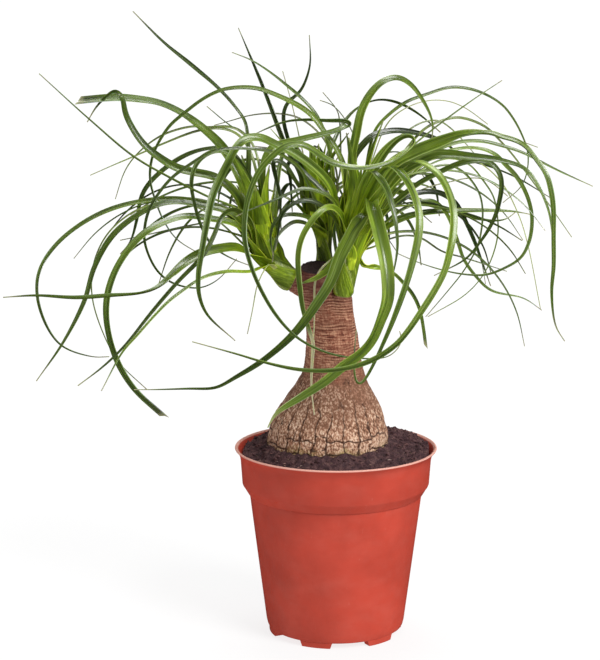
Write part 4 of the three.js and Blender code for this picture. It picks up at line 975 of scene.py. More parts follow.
class PALM_OT_pot(bpy.types.Operator):
    """Make the thin plastic pot, with its lip, step, feet and drainage holes"""
    bl_idname = "palm.pot"
    bl_label = "Nursery pot"

    def execute(self, context):
        look = context.scene.palm_pot
        pot = turned_wall(POT_WALL, look.sides)
        for index in range(FOOT_COUNT):
            cut_with(pot, foot(FOOT_TURN + 2 * math.pi * index / FOOT_COUNT), "UNION")
        pad_height = FOOT_HEIGHT + FOOT_SUNK
        cut_with(pot, post(PAD_RADIUS, pad_height, (0, 0, pad_height / 2), 64), "UNION")
        for index in range(DRAIN_COUNT):
            at = DRAIN_RING * heading(FOOT_TURN + 2 * math.pi * (index + 0.5) / DRAIN_COUNT)
            cut_with(pot, post(DRAIN_RADIUS, DRAIN_DEPTH, at + (0, 0, DRAIN_LEVEL), 40), "DIFFERENCE")
        join("nursery_pot", [pot])
        finish_piece(pot, "pot", [plastic_material(look)], 32)
        return {"FINISHED"}


# Soil

def soil_top(x, y, nearness):
    """The open surface of the peat: the bulb's mound, the heap behind it, clods and crumbs."""
    lumps = np.sin(x * 0.31 + y * 0.17) * np.cos(y * 0.29 - x * 0.11) + 0.5 * np.sin(x * 0.7 - y * 0.9)
    away = ((x - SOIL_HEAP["x"]) ** 2 + (y - SOIL_HEAP["y"]) ** 2) / SOIL_HEAP["spread"] ** 2
    behind = smoothstep(np.cos(np.arctan2(y, x) - SOIL_BACK_BEARING), -1.0, 0.75)
    level = SOIL_LEVEL + SOIL_MOUND * nearness + SOIL_LUMP * lumps + SOIL_HEAP["height"] * np.exp(-away)
    level = level + SOIL_BACK * behind * (1 - nearness)
    flat = np.stack([x, y, 0 * x], axis=-1)
    loose = 1 - 0.75 * nearness
    clods, clod_size = cracks(x / CLOD_SIZE, y / CLOD_SIZE, 11)
    crumbs, crumb_size = cracks(x / CRUMB_SIZE, y / CRUMB_SIZE, 12)
    level += loose * (1.5 * smoothstep(clods, 0, 0.7) * (0.25 + clod_size) - 0.7)
    level += loose * (0.75 * smoothstep(crumbs, 0, 0.8) * (0.3 + crumb_size) - 0.3)
    return level + loose * (0.9 * noise(flat, 9, 13) + 0.35 * noise(flat, 1.3, 14))


def soil_place(share, turn):
    """A point of the open surface: its share of the way from the bulb to the pot's wall, and its bearing."""
    radius = mix(SOIL_EDGE, SOIL_BRIM, share)
    x = mix(SOIL_EDGE_LEAN, 0, share) + radius * np.cos(turn)
    y = radius * np.sin(turn)
    return np.stack([x, y, soil_top(x, y, (1 - share) ** 2)], axis=-1)


def crumb(subdivisions, seed):
    """A lumpy grain about one millimetre across."""
    deselect()
    bpy.ops.mesh.primitive_ico_sphere_add(subdivisions=subdivisions, radius=0.5 * MM)
    made = bpy.context.object
    points = corners(made)
    points *= (1 + 0.35 * noise(points + 7 * seed, 0.45, 50 + seed))[:, None]
    move_corners(made, points * (1, 0.8, 0.66))
    return made


def scatter(name, kinds, count, size, rng, spread, sink):
    """Copies of a few grains strewn over the soil, each with its own mesh, joined as one piece."""
    copies = []
    for index in range(count):
        source = kinds[index % len(kinds)]
        share, turn = spread(rng)
        at = soil_place(np.array(share), np.array(turn))
        scale = size(rng)
        turned = Matrix.Rotation(rng.uniform(0, 2 * math.pi), 4, "Z")
        turned = turned @ Matrix.Rotation(rng.uniform(-0.9, 0.9), 4, "X")
        mesh = source.data.copy()
        mesh.transform(turned @ Matrix.Diagonal((*scale, 1)))
        mesh.transform(Matrix.Translation(Vector(at * MM) + Vector((0, 0, sink * max(scale) * MM))))
        copy = bpy.data.objects.new(name, mesh)
        bpy.context.collection.objects.link(copy)
        copies.append(copy)
        store(copy, "tone", np.full(len(mesh.vertices), rng.uniform(0, 1)))
    for source in kinds:
        bpy.data.objects.remove(source)
    return join(name, copies)


def peat_material(look, name, lift):
    make = Finish(name, Specular_IOR_Level=0.25)
    mottle = make.grain(260, 5, 0.65) * 0.6 + make.grain(1400, 4, 0.7) * 0.4
    tone = make.ramp(mottle, [
        (0.34, rgba(look.dark, lift)), (0.5, rgba(look.middle, lift)), (0.66, rgba(look.pale, lift)),
    ])
    fibres = make.span(make.grain(1, 3, 0.6, (900, 300, 900)), 0.68, 0.76, 0, 0.55)
    tone = make.blend(fibres, tone, rgba(look.fibre, lift))
    damp = make.span(make.grain(90, 2), 0.35, 0.65, 0.72, 1.0)
    return make.done(tone, damp, make.bump(mottle, 0.8, 0.0009))


def fleck_material(look):
    make = Finish("bark_fleck", Roughness=0.9)
    streak = make.grain(1, 3, stretch=(1500, 500, 1500))
    colour = make.ramp(make.field("tone"), [
        (0.0, look.middle), (0.55, look.fibre), (0.93, rgba(look.pale, 3.2)), (1.0, PERLITE),
    ])
    colour = make.blend(streak * 0.6, colour, rgba(look.dark))
    return make.done(colour, None, make.bump(streak, 0.5, 0.0003))


class SoilSettings(bpy.types.PropertyGroup):
    crumbs: IntProperty(name="Crumbs", description="Loose grains on the soil", default=620, min=0, max=1500)
    flecks: IntProperty(name="Flecks", description="Pale bits in the soil", default=150, min=0, max=400)
    seed: IntProperty(name="Seed", description="Number that the strewing starts from", default=4, min=0)
    dark: tint("Dark", "Damp hollows", (0.014, 0.007, 0.009))
    middle: tint("Middle", "Most of the peat", (0.064, 0.030, 0.034))
    pale: tint("Pale", "Dry crumbs", (0.165, 0.087, 0.078))
    fibre: tint("Fibre", "Fibres and bark bits", (0.26, 0.17, 0.11))


class PALM_OT_soil(bpy.types.Operator):
    """Make the peat, from the bulb's hollow to the pot's wall, with loose crumbs and pale flecks on it"""
    bl_idname = "palm.soil"
    bl_label = "Peat soil"

    def execute(self, context):
        look = context.scene.palm_soil
        turn = np.linspace(0, 2 * math.pi, SOIL_SIDES, endpoint=False)
        ring = np.stack([np.cos(turn), np.sin(turn), 0 * turn], axis=-1)
        rings = [ring * radius + (0, 0, height) for radius, height in SOIL_WALL]
        rings += [soil_place(share, turn) for share in np.linspace(1, 0, SOIL_RINGS)]
        hollow = [row for row in TRUNK_ROUTE if row[0] < SOIL_LEVEL]
        rings += [ring * (radius + HOLLOW_GAP) + (lean, 0, height - HOLLOW_GAP)
                  for height, radius, lean in hollow[::-1]]
        soil = skin("peat", rings)
        finish_piece(soil, "soil", [peat_material(look, "peat", 1.0)])
        rng = np.random.default_rng(look.seed)
        heap = math.atan2(SOIL_HEAP["y"], SOIL_HEAP["x"])

        def anywhere(draw):
            return draw.uniform(0.04, 0.97), draw.uniform(0, 2 * math.pi)

        def mostly_heap(draw):
            turn = draw.normal(heap, 0.7) if draw.uniform() < 0.4 else draw.uniform(0, 2 * math.pi)
            return draw.uniform(0.03, 0.97), turn

        def grain_size(draw):
            return np.full(3, 1.0 + 2.4 * draw.uniform() ** 3)

        def fleck_size(draw):
            return np.array([draw.uniform(1.2, 4.2), draw.uniform(0.5, 1.1), draw.uniform(0.4, 0.8)])

        kinds = [crumb(2, seed) for seed in range(5)]
        crumbs = scatter("peat_crumbs", kinds, look.crumbs, grain_size, rng, mostly_heap, 0.12)
        finish_piece(crumbs, None, [peat_material(look, "peat_crumb", 1.25)])
        kinds = [crumb(1, 9), crumb(1, 10)]
        flecks = scatter("peat_flecks", kinds, look.flecks, fleck_size, rng, anywhere, 0.1)
        finish_piece(flecks, None, [fleck_material(look)])
        return {"FINISHED"}


# Trunk

def trunk_rings():
    """Rings up the trunk. Above the neck they tilt towards the slope of the cut."""
    route = curve_at([(lean, radius, height) for height, radius, lean in TRUNK_ROUTE], np.linspace(0, 1, 110))
    turn = np.linspace(0, 2 * math.pi, 96, endpoint=False)
    lean, radius, height = (route[:, axis][:, None] for axis in range(3))
    slope = CUT_SLOPE * smoothstep(height, CUT_START, CUT_TOP)
    y = radius * np.sin(turn)
    return np.stack([lean + radius * np.cos(turn), y, height + slope * y], axis=-1)


def plates(points, turn, z):
    """The bulb's cork plates, in columns round it: how far each point lies from the upright and from the
    level crack nearest to it, in millimetres, and a number for its plate."""
    across = turn * PLATE_COLUMNS + 0.17 * noise(points, 8, 21) + 0.10 * noise(points, 2.6, 36)
    column = np.floor(across)
    home = column % PLATE_COLUMNS
    up = z / PLATE_HEIGHT + 0.5 * chance((home, 0 * home, 0 * home), 37) + 0.14 * noise(points, 4, 38)
    row = np.floor(up)
    beside = (0.5 - np.abs(across - column - 0.5)) * PLATE_WIDTH
    above = (0.5 - np.abs(up - row - 0.5)) * PLATE_HEIGHT
    return beside, above, chance((home, row, 0 * row), 39)


def bark(points, outward):
    """How far the bark stands out, and its fields: furrows, the chips between them, the neck's rings, how
    strong they are, and the cut."""
    x, y, z = points.T
    heights = [row[0] for row in TRUNK_ROUTE]
    lean = np.interp(z, heights, [row[2] for row in TRUNK_ROUTE])
    radius = np.interp(z, heights, [row[1] for row in TRUNK_ROUTE])
    turn = np.arctan2(y, x - lean) / (2 * math.pi) + 0.5
    on_body = 1 - smoothstep(np.hypot(x - lean, y) - radius, 1.2, 3.5)
    warp = 0.3 * noise(points, 9, 21)
    patchy = noise(points, 13, 29)
    low = 1 - smoothstep(z + 8 * patchy, *CRACK_TOP)
    lower = 1 - smoothstep(z + 7 * patchy, *LEVEL_CRACK_TOP)
    waist = smoothstep(z, *WAIST[0]) * (1 - smoothstep(z, *WAIST[1]))
    bulb = 1 - smoothstep(z, *BULB_TOP)

    beside, above, plate = plates(points, turn, z)
    upright_cracks = low * (1 - np.clip(beside / CRACK_WIDTH, 0, 1))
    level_cracks = lower * (1 - np.clip(above / LEVEL_CRACK_WIDTH, 0, 1))
    furrow = smoothstep(noise(points, 6, 35), -1.0, -0.3) * np.maximum(upright_cracks, level_cracks)
    slit_edge, slit = cracks(
        turn * SLIT_COLUMNS + 0.8 * warp, z / SLIT_HEIGHT + warp, 23, SLIT_COLUMNS, 0.9)
    wrinkle = waist * (1 - smoothstep(slit_edge, 0.02, 0.2)) * smoothstep(noise(points, 8, 30), -0.3, 0.5)
    chip_edge, chip = cracks(
        turn * CHIP_COLUMNS + 0.6 * warp, z / CHIP_HEIGHT + warp, 24, CHIP_COLUMNS, 0.95)
    chipped = bulb * (1 - smoothstep(chip_edge, 0.02, 0.34))

    def wrapped(lumps, rise, seed):
        """Noise with a number of lumps round the trunk, each a number of millimetres high."""
        around = (np.cos(turn * 2 * math.pi) * lumps, np.sin(turn * 2 * math.pi) * lumps, z / rise)
        return noise(np.stack(around, axis=-1), 1, seed)

    phase = z / RING_PITCH + 0.4 * wrapped(3, 14, 26) + 0.16 * noise(points, 5, 27)
    broken = smoothstep(wrapped(2.2, 5.2, 28), -0.6, 0.6)
    ringed = smoothstep(z, *RINGS_START) * (1 - 0.45 * smoothstep(z, *RINGS_FADE)) * broken
    groove = (0.5 + 0.5 * np.cos(2 * math.pi * phase)) ** 2
    upright = wrapped(24, 9, 25)
    cut = smoothstep(outward[:, 2], 0.6, 0.85) * smoothstep(z, *CUT_RIM) * on_body

    out = sum(height * noise(points, size, seed) for size, height, seed in BARK_LUMPS)
    for where, step, number in ((low, PLATE_STEP, plate), (waist, SLIT_STEP, slit), (bulb, CHIP_STEP, chip)):
        out += where * step * (number - 0.5)
    out -= CRACK_DEPTH * smoothstep(furrow, 0.4, 0.9) + WRINKLE_DEPTH * wrinkle
    out -= CHIP_DEPTH * chipped + UPRIGHT_DEPTH * upright + GROOVE_DEPTH * ringed * groove
    fibres = noise(points * (1, 1, 0.2), 1.4, 34)
    out = mix(out * mix(0.45, 1, on_body), FIBRE_DEPTH * fibres, cut)
    fields = {
        "furrow": np.maximum(furrow, 0.75 * wrinkle), "gap": chipped, "chip": chip * bulb + 0.5 * (1 - bulb),
        "phase": phase, "ringed": ringed, "upright": 0.5 + 0.5 * upright, "cut": cut,
    }
    return out, fields


def bark_material(look):
    make = Finish("cork_bark", Specular_IOR_Level=0.25)
    x, _, z = make.axes(make.where)
    furrow, gap, chip, phase, ringed, upright, cut = (
        make.field(name) for name in ("furrow", "gap", "chip", "phase", "ringed", "upright", "cut"))
    cloud = make.grain(70, 4, 0.6)
    fine = make.grain(1000, 3, 0.7, (1, 1, 0.55))
    distance, shade = make.node(
        "TexVoronoi", ("Distance", "Color"), inputs={"Vector": make.stretched((1, 1, 0.6)), "Scale": 820.0})
    pebble = make.span(distance, 0.25, 0.75, 1.0, 0.0)
    grey = make.node("RGBToBW", "Val", inputs={"Color": shade})
    mixed = fine * 0.55 + pebble * 0.15 + grey * 0.25 + chip * 0.05
    cork = make.ramp(mixed, [
        (0.36, rgba(look.brown, 0.5)), (0.44, look.brown), (0.52, look.plate), (0.63, look.cream),
    ])
    cork = make.blend(make.span(cloud, 0.45, 0.66, 0, 0.4), cork, rgba(look.brown, 1.4))
    cork = make.blend(gap * 0.12, cork, rgba(look.brown, 0.5))

    weave = make.grain(950, 3, 0.65, (0.14, 0.14, 1.3)) * 0.6 + fine * 0.3 + upright * 0.1
    neck = make.ramp(weave, [(0.38, look.scar), (0.485, look.neck), (0.575, look.ridge)])
    neck = make.blend(make.span(cloud, 0.46, 0.64, 0, 0.55), neck, rgba(look.neck, 0.66))
    wave = make.calc("COSINE", phase * (2 * math.pi))
    neck = make.blend(make.span(wave, -0.1, -1.0, 0, 0.6) * ringed, neck, rgba(look.ridge))
    grooved = make.span(wave, 0.35, 0.95) * ringed

    edge = z + (cloud - 0.5) * 0.06
    tone = make.blend(make.rise(edge, NECK_SKIN), cork, neck)
    darker = make.rise(edge, DARK_BAND[0]) * make.rise(edge, DARK_BAND[1])
    darker = darker * make.span(mixed, 0.6, 0.42, 0.35, 0.95)
    # Pale patches low on the bulb, only on its right side, which faces the key light: partly real pale bark,
    # partly painted light
    lit_side = make.span(x * 9 + cloud * 0.9, 0.25, 0.75, 0, 0.6)
    lit_pale_patches = make.rise(z, LIT_PATCH_TOP) * lit_side * make.span(fine, 0.42, 0.6)
    moss = make.rise(z + (cloud - 0.5) * -0.03, MOSS_TOP) * make.span(fine, 0.4, 0.6, 0.1, 0.8)
    wound = make.rise(z + (cloud - 0.5) * 0.012, WOUND, 0, 0.7)
    for share, over in (
        (darker, rgba(look.brown, 0.62)),
        (lit_pale_patches, rgba(look.cream, 1.15)),
        (moss, rgba(look.moss)),
        (make.span(furrow, 0.25, 0.8, 0, 0.88), rgba(look.furrow)),
        (grooved * 0.52, rgba(look.scar)),
        (wound, rgba(look.wound)),
        (cut, make.ramp(fine, [(0.3, look.cut_dark), (0.7, look.cut)])),
    ):
        tone = make.blend(share, tone, over)
    relief = fine * 0.7 + pebble * 0.4 + grooved * -0.6
    return make.done(tone, make.span(fine, 0.3, 0.7, 0.8, 0.97), make.bump(relief, 0.9, 0.0007))


class TrunkSettings(bpy.types.PropertyGroup):
    grain: FloatProperty(
        name="Grain", description="Side of the little faces that the bark is carved in", unit="LENGTH",
        subtype="DISTANCE", default=0.00068, min=0.0005, max=0.003, precision=5)
    plate: tint("Plates", "Cork plates of the bulb", (0.56, 0.32, 0.205))
    brown: tint("Brown", "Darker plates", (0.31, 0.145, 0.085))
    # Cream is also used, brightened, for the painted light on the bulb's lit right side
    cream: tint("Cream", "Worn faces of the plates", (0.82, 0.59, 0.435))
    furrow: tint("Furrows", "Cracks between the plates", (0.05, 0.022, 0.015))
    neck: tint("Neck", "Reddish skin of the neck", (0.30, 0.102, 0.060))
    ridge: tint("Ridges", "Pale ridges of the neck", (0.60, 0.32, 0.20))
    scar: tint("Scars", "Rings that old leaves left", (0.10, 0.030, 0.020))
    moss: tint("Moss", "Green tinge at the soil", (0.40, 0.34, 0.09))
    wound: tint("Wound", "Dark red rim of the cut", (0.10, 0.026, 0.026))
    cut: tint("Cut", "Dried face of the cut", (0.13, 0.075, 0.082))
    cut_dark: tint("Cut hollows", "Darkest part of the cut", (0.03, 0.016, 0.022))


class PALM_OT_trunk(bpy.types.Operator):
    """Make the bulb, the ringed neck, the cut top and the three stubs, and carve the bark"""
    bl_idname = "palm.trunk"
    bl_label = "Corky trunk"

    def execute(self, context):
        look = context.scene.palm_trunk
        body = [skin("trunk", trunk_rings())]
        body += [tube("stub", points, 48, 16) for points in STUBS.values()]
        trunk = join("cork_trunk", body)
        apply_modifier(trunk, "REMESH", mode="VOXEL", voxel_size=look.grain, use_smooth_shade=True)
        apply_modifier(trunk, "SMOOTH", factor=0.5, iterations=6)
        points, outward = corners(trunk), normals(trunk)
        out, fields = bark(points, outward)
        move_corners(trunk, points + outward * out[:, None])
        for name, values in fields.items():
            store(trunk, name, values)
        finish_piece(trunk, "trunk", [bark_material(look)])
        return {"FINISHED"}


# Leaves

class Stem:
    """A leafy stem's middle line and radius."""

    def __init__(self, shoot):
        self.points = np.array(STEMS[shoot], float)

    def at(self, rise):
        return curve_at(self.points[:, :3], rise)[0]

    def along(self, rise):
        return unit(self.at(min(rise + 0.02, 1)) - self.at(max(rise - 0.02, 0)))

    def radius(self, rise):
        return np.interp(rise, np.linspace(0, 1, len(self.points)), self.points[:, 3])


def each_axis(change, points):
    """The same change made to the x, the y and the z of a row of points."""
    return np.stack([change(points[:, axis]) for axis in range(3)], axis=1)


def even_route(points):
    """Places along a smoothed curve, closer together where it bends: how far along, where, which way it
    goes and how it bends there, and how far along its first knots lie."""
    per_knot = 24
    fine = curve_at(points, np.linspace(0, 1, per_knot * (len(points) - 1) + 1))
    length = np.concatenate([[0], np.cumsum(np.linalg.norm(np.diff(fine, axis=0), axis=1))])
    even = np.linspace(0, length[-1], int(length[-1]) + 2)
    line = each_axis(lambda part: np.interp(even, length, part), fine)
    reach = 6
    padded = np.vstack([2 * line[0] - line[reach:0:-1], line, 2 * line[-1] - line[-2:-reach - 2:-1]])
    weights = np.exp(-0.5 * (np.arange(-reach, reach + 1) / 2.6) ** 2)
    weights /= weights.sum()
    line = each_axis(lambda part: np.convolve(part, weights, mode="valid"), padded)
    way = unit(np.gradient(line, axis=0))
    step = even[1] - even[0]
    bend = np.gradient(way, axis=0) / step
    cost = np.cumsum(step * (1 / LEAF_SPACING + np.linalg.norm(bend, axis=1) / LEAF_BEND_STEP))
    cost -= cost[0]
    at = np.interp(np.linspace(0, cost[-1], max(8, round(cost[-1]))), cost, even)
    line, way, bend = (each_axis(lambda part: np.interp(at, even, part), rows) for rows in (line, way, bend))
    return at, line, unit(way), bend, length[[per_knot, 2 * per_knot]]


def leaf_frame(way, share, freed, radial, faces, side, turn):
    """Which way a leaf's upper face looks along its route, which way its width runs, and how level it
    lies. In the sheath the upper face is turned to the stem."""
    level = unit(side - way * (side * way).sum(1, keepdims=True))
    out = np.cross(level, way) * turn
    steps = np.linspace(0, 1, len(faces))
    lean = np.radians(np.interp(share, steps, [face or 0 for face in faces]))[:, None]
    flat = smoothstep(np.interp(share, steps, [face is None for face in faces]), 0, 1)[:, None]
    fallen = unit((0, 0, 1) - way * way[:, 2:])
    up = unit(mix(out * np.cos(lean) + level * np.sin(lean), fallen, flat))
    across = np.cross(up, way)
    inward = -radial - way * (way @ -radial)[:, None]
    twist = np.unwrap(np.arctan2((inward * across).sum(1), (inward * up).sum(1)))
    twist = (twist * (1 - freed))[:, None]
    up = up * np.cos(twist) + across * np.sin(twist)
    return up, np.cross(up, way), flat[:, 0]


def leaf(stem, rise, route, radial, width, faces, side_of, turn, end, columns, rng):
    """A leaf as a grid of corners: a sheath that clasps the stem, then a channelled blade on its route."""
    starts = [max(rise - SHEATH_REACH, 0), max(rise - SHEATH_REACH / 2, 0.02), rise]
    layers = [stem.radius(t) * (1 - SHEATH_LAYER * (rise - t)) for t in starts]
    opening = math.asin(min(0.93, SHEATH_SHARE * max(width, 2.2) / stem.radius(rise)))
    held = [stem.at(t) + radial * layer * math.cos(opening) for t, layer in zip(starts, layers)]
    at, where, way, bend, (root, leave) = even_route([*held, *route])
    share = np.clip((at - root) / (at[-1] - root), 0, 1)
    blend_length = FOLD_BLEND if faces[0] is None else SHEATH_BLEND[0] + SHEATH_BLEND[1] * width
    freed = smoothstep(at, leave - 4, leave + blend_length)
    up, across, flat = leaf_frame(way, share, freed, radial, faces, side_of(where), turn)

    is_cut = end == "cut"
    tip = 1 - (1 - (CUT_SHARE if is_cut else 0)) * share ** TAPER[end]
    full = width * FOLDED_SHARE * mix(ROOT_SHARE, 1, smoothstep(share, 0, ROOT_LENGTH)) * tip
    tightest = BEND_ROOM / np.maximum(np.abs((bend * across).sum(1)), 1e-6)
    full = np.minimum(np.maximum(full, TIP_WIDTH), tightest)
    clasp = np.interp(at, [0, leave], [layers[0], layers[-1]])
    half = mix(clasp * math.sin(opening), full / 2, freed)[:, None]
    arc = mix(opening, math.radians(OPENING), freed)
    arc = mix(arc, math.radians(FLAT_OPENING), flat * smoothstep(at, leave - 2, leave + 7))[:, None]
    place_across = np.linspace(1, -1, columns)[None, :]
    radius = half / np.sin(arc)
    over = radius * np.sin(place_across * arc)
    under = radius * (np.cos(arc) - np.cos(place_across * arc))
    crease = CREASE * half * (1 - np.abs(place_across)) ** 2 * freed[:, None]
    wave = at[:, None] / RIPPLE_LENGTH + rng.uniform(0, 6) + 2 * place_across
    ripple = RIPPLE * half * place_across ** 2 * np.sin(wave)
    lift = under - crease + ripple
    rows = where[:, None] + across[:, None] * over[..., None] + up[:, None] * lift[..., None]
    if is_cut:
        slant = smoothstep(share, CUT_START_SHARE, 1)[:, None] * place_across * CUT_SLANT
        rows = rows + way[:, None] * slant[..., None]
    strength, start, full_dry = DRY_ENDS.get(end, DRY_TIP)
    fields = {
        "along": share * (0.5 if end == "broad" else 1),
        "base": 1 - smoothstep(at, leave - 6, leave + BASE_FADE[0] + BASE_FADE[1] * width),
        "dry": strength * smoothstep(share, start, full_dry),
    }
    return rows, {name: np.repeat(values, columns) for name, values in fields.items()}


def seen_leaf(shoot, stem, order, entry, rng):
    """A leaf on its route in the photograph, with its columns, its tone and how dry it is."""
    name, width, faces, pixels, *ends = entry
    rise = mix(*ROOT_RISE, order)
    route = np.array([place(point) for point in pixels])
    steps = np.diff(np.array(pixels, float)[:, :2], axis=0)
    turning = (steps[:-1, 0] * steps[1:, 1] - steps[:-1, 1] * steps[1:, 0]).sum()
    reach = route[0] - stem.at(rise)
    radial = reach - stem.along(rise) * (reach @ stem.along(rise))
    if np.linalg.norm(radial) < ROOT_REACH:
        radial = heading(math.radians(GOLDEN_TURN * (1 + round(60 * order))))
    columns = LEAF_COLUMNS["thread" if width < THREAD_WIDTH else "blade"]
    made = leaf(
        stem, rise, route, unit(radial), width, faces, lambda where: unit(EYE - where), np.sign(turning) or 1,
        ends[0] if ends else "", columns, rng)
    tone = rng.uniform(*SEEN_TONES) + sum(shift for word, shift in NAME_TONES.items() if word in name)
    tone += SHOOT_TONES[shoot]
    return made, columns, tone, max(share for word, share in DRY_SHARES.items() if word in name)


def seeded_draws(seed):
    """The same run of numbers from 0 to 1 as placed these leaves in the solids."""
    state = seed
    while True:
        state = (state * 1664525 + 1013904223) % 4294967296
        yield state / 4294967296


def hidden_leaf(rule, stem, order, draws, rng):
    """A leaf that the photograph hides, placed by its shoot's rule, or nothing where it is left out."""
    away = heading(math.radians(rule["bearing"] + rule["fan"] * ((order * GOLDEN_TURN / 360) % 1 - 0.5)))
    side = -np.cross(away, (0, 0, 1))
    reach = mix(*rule["length"], next(draws)) * mix(SIDEWAYS_SHARE, 1, max(0, away[1]))
    first = math.radians(mix(*rule["start"], next(draws)))
    last = -math.radians(mix(*HIDDEN_DROOP, next(draws)))
    sway = mix(*HIDDEN_SWAY, next(draws))
    rise = mix(*ROOT_RISE, next(draws))
    width = mix(*HIDDEN_WIDTH, next(draws))
    twist = mix(*HIDDEN_TWIST, next(draws))
    if order in rule["gone"]:
        return None
    here, route = stem.at(rise), []
    for step in range(1, HIDDEN_STEPS + 1):
        share = (step - 0.5) / HIDDEN_STEPS
        pitch = mix(first, last, share ** 0.8)
        here = here + (away * math.cos(pitch) + side * sway * share) * reach / HIDDEN_STEPS
        here[2] += math.sin(pitch) * reach / HIDDEN_STEPS
        if here[2] < LOWEST_TIP:
            break
        route.append(here)
    columns = LEAF_COLUMNS["hidden"]
    made = leaf(
        stem, rise, np.array(route), away, width * HIDDEN_SHARE, [0, twist, 2 * twist], lambda where: -side,
        1, "", columns, rng)
    return made, columns, rng.uniform(*HIDDEN_TONES), 0.0


def young_leaf(stem, index, rng):
    """A short upright leaf that has just opened in the heart of a shoot."""
    away = heading(math.radians(GOLDEN_TURN * index))
    side = np.cross(away, (0, 0, 1))
    rise = mix(*YOUNG_RISE, index / YOUNG_LEAVES)
    length, spread = rng.uniform(*YOUNG_LENGTH), rng.uniform(*YOUNG_SPREAD)
    upward = unit(stem.along(rise) + (0, 0, 0.6))
    route = [stem.at(rise) + away * (2.5 + spread * length * share ** 2) + upward * length * share
             for share in (0.25, 0.5, 0.75, 1)]
    columns = LEAF_COLUMNS["hidden"]
    made = leaf(
        stem, rise, np.array(route), away, rng.uniform(*YOUNG_WIDTH), [0, 0], lambda where: side, 1, "",
        columns, rng)
    return made, columns, rng.uniform(*YOUNG_TONES), 0.0


def leaf_material(look, name, lift, roughness, coat):
    make = Finish(
        name, Specular_IOR_Level=0.5, Coat_Weight=coat, Coat_Roughness=0.2, Coat_IOR=1.4,
        Subsurface_Weight=0.22, Subsurface_Radius=(0.5, 1.0, 0.1), Subsurface_Scale=0.0012)
    along, base, tone, dry = (make.field(field) for field in ("along", "base", "tone", "dry"))
    u, v, _ = make.axes(make.node("UVMap", "UV", {"uv_map": "UVMap"}))

    def lengthwise(bands, seed):
        """Lines that run along the blade, a number of them across it."""
        flow = {"X": u * bands, "Y": v * 4, "Z": tone * 40 + seed}
        return make.grain(1, 2, 0.6, at=make.node("CombineXYZ", "Vector", inputs=flow))

    # The broad halves paint light on one half of each channel and shade on the other, the middling bands
    # paint lengthwise streaks of light and shade over the real striations, and the fine veins are the blade's
    # own
    veins, bands, lit_and_shaded_halves = lengthwise(26, 0.0), lengthwise(7, 9.0), lengthwise(2.2, 21.0)
    clouds = make.grain(45, 3)
    # Darker tones, partly painted shade on leaves that lie under or behind others, lean to the shade colour;
    # paler ones to the young colour
    light = make.span(tone, -0.1, 0.9, 0, 0.8)
    dark = make.span(tone, -0.1, -0.9, 0, 0.9)
    colour = make.ramp(along, [
        (0.0, look.blade), (0.3, look.blade), (0.62, look.deep), (0.9, look.deep), (1.0, look.tip),
    ])
    colour = make.blend(make.span(clouds, 0.42, 0.66, 0, 0.5), colour, rgba(look.deep))
    colour = make.blend(light, colour, rgba(look.young))
    colour = make.blend(dark, colour, rgba(look.shade))
    heart = make.blend(dark * 1.1, rgba(look.base), rgba(look.base, 0.28))
    heart = make.blend(light, heart, rgba(look.base, 1.5))
    colour = make.blend(base ** 1.2 * 0.96, colour, heart)
    # Painted shade and light across the channel and down its middle crease, the real veins, and the real pale
    # margins
    off_middle = abs(u - 0.5)
    for lines, none, most, strength, tinge in (
        (lit_and_shaded_halves, 0.5, 0.36, 0.75, PAINTED_SHADE_TINT),
        (lit_and_shaded_halves, 0.52, 0.68, 0.7, VEIN_AND_LIGHT_TINT),
        (bands, 0.50, 0.34, 0.65, PAINTED_SHADE_TINT),
        (bands, 0.54, 0.70, 0.5, VEIN_AND_LIGHT_TINT),
        (veins, 0.46, 0.68, 0.8, VEIN_AND_LIGHT_TINT),
        (off_middle, 0.05, 0.0, 0.4, PAINTED_SHADE_TINT),
        (off_middle, 0.45, 0.49, 0.8, MARGIN_TINT),
    ):
        colour = make.blend(make.span(lines, none, most, 0, strength), colour, rgba(tinge), "MULTIPLY")
    colour = make.node("HueSaturation", "Color", inputs={"Color": colour, "Value": lift})
    colour = make.blend(dry, colour, rgba(look.dry))
    sheen = make.span(veins + clouds, 0.6, 1.4, roughness - 0.06, roughness + 0.12)
    return make.done(colour, sheen, make.bump(veins + bands, 0.4, 0.0004))


def stem_core(shoot):
    """The stem under the leaves: old sheaths wrapped over each other, rounded where they meet the stub."""
    lower, face = (np.array(row) for row in STUBS[shoot][-2:])
    out = unit(face[:3] - lower[:3])
    rows = [[*(face[:3] + out * rise), face[3] * share] for rise, share in CORE_FOOT]
    rows += [[*row[:3], row[3] * STEM_CORE * share] for row, share in zip(STEMS[shoot], CORE_TOP)]
    core = tube("core", np.array(rows), 72, 60)
    points, outward = corners(core), normals(core)
    rise = (points - face[:3]) @ out
    middle = np.array([STUBS[shoot][-1], *STEMS[shoot]])
    x, y = (points[:, axis] - np.interp(points[:, 2], middle[:, 2], middle[:, axis]) for axis in (0, 1))
    wrap = SHEATH_STEPS * np.arctan2(y, x) / (2 * math.pi) + rise / SHEATH_STEP_RISE
    lap = wrap - np.floor(wrap)
    above_face = smoothstep(rise, 0, 4)
    move_corners(core, points + outward * (SHEATH_STEP * (lap - 0.5) * above_face)[:, None])
    # Each wrap of old sheath is painted darker where it runs in under the edge of the one over it, as shade
    fields = {
        "along": 0 * rise, "base": 0.45 + 0.35 * lap, "tone": 0.7 * (lap - 0.8) + SHOOT_TONES[shoot],
        "dry": 0.85 * (1 - smoothstep(rise, -0.6, 0.8)) + 0.5 * smoothstep(lap, 0.9, 1) * above_face,
    }
    for name, values in fields.items():
        store(core, name, values)
    return core


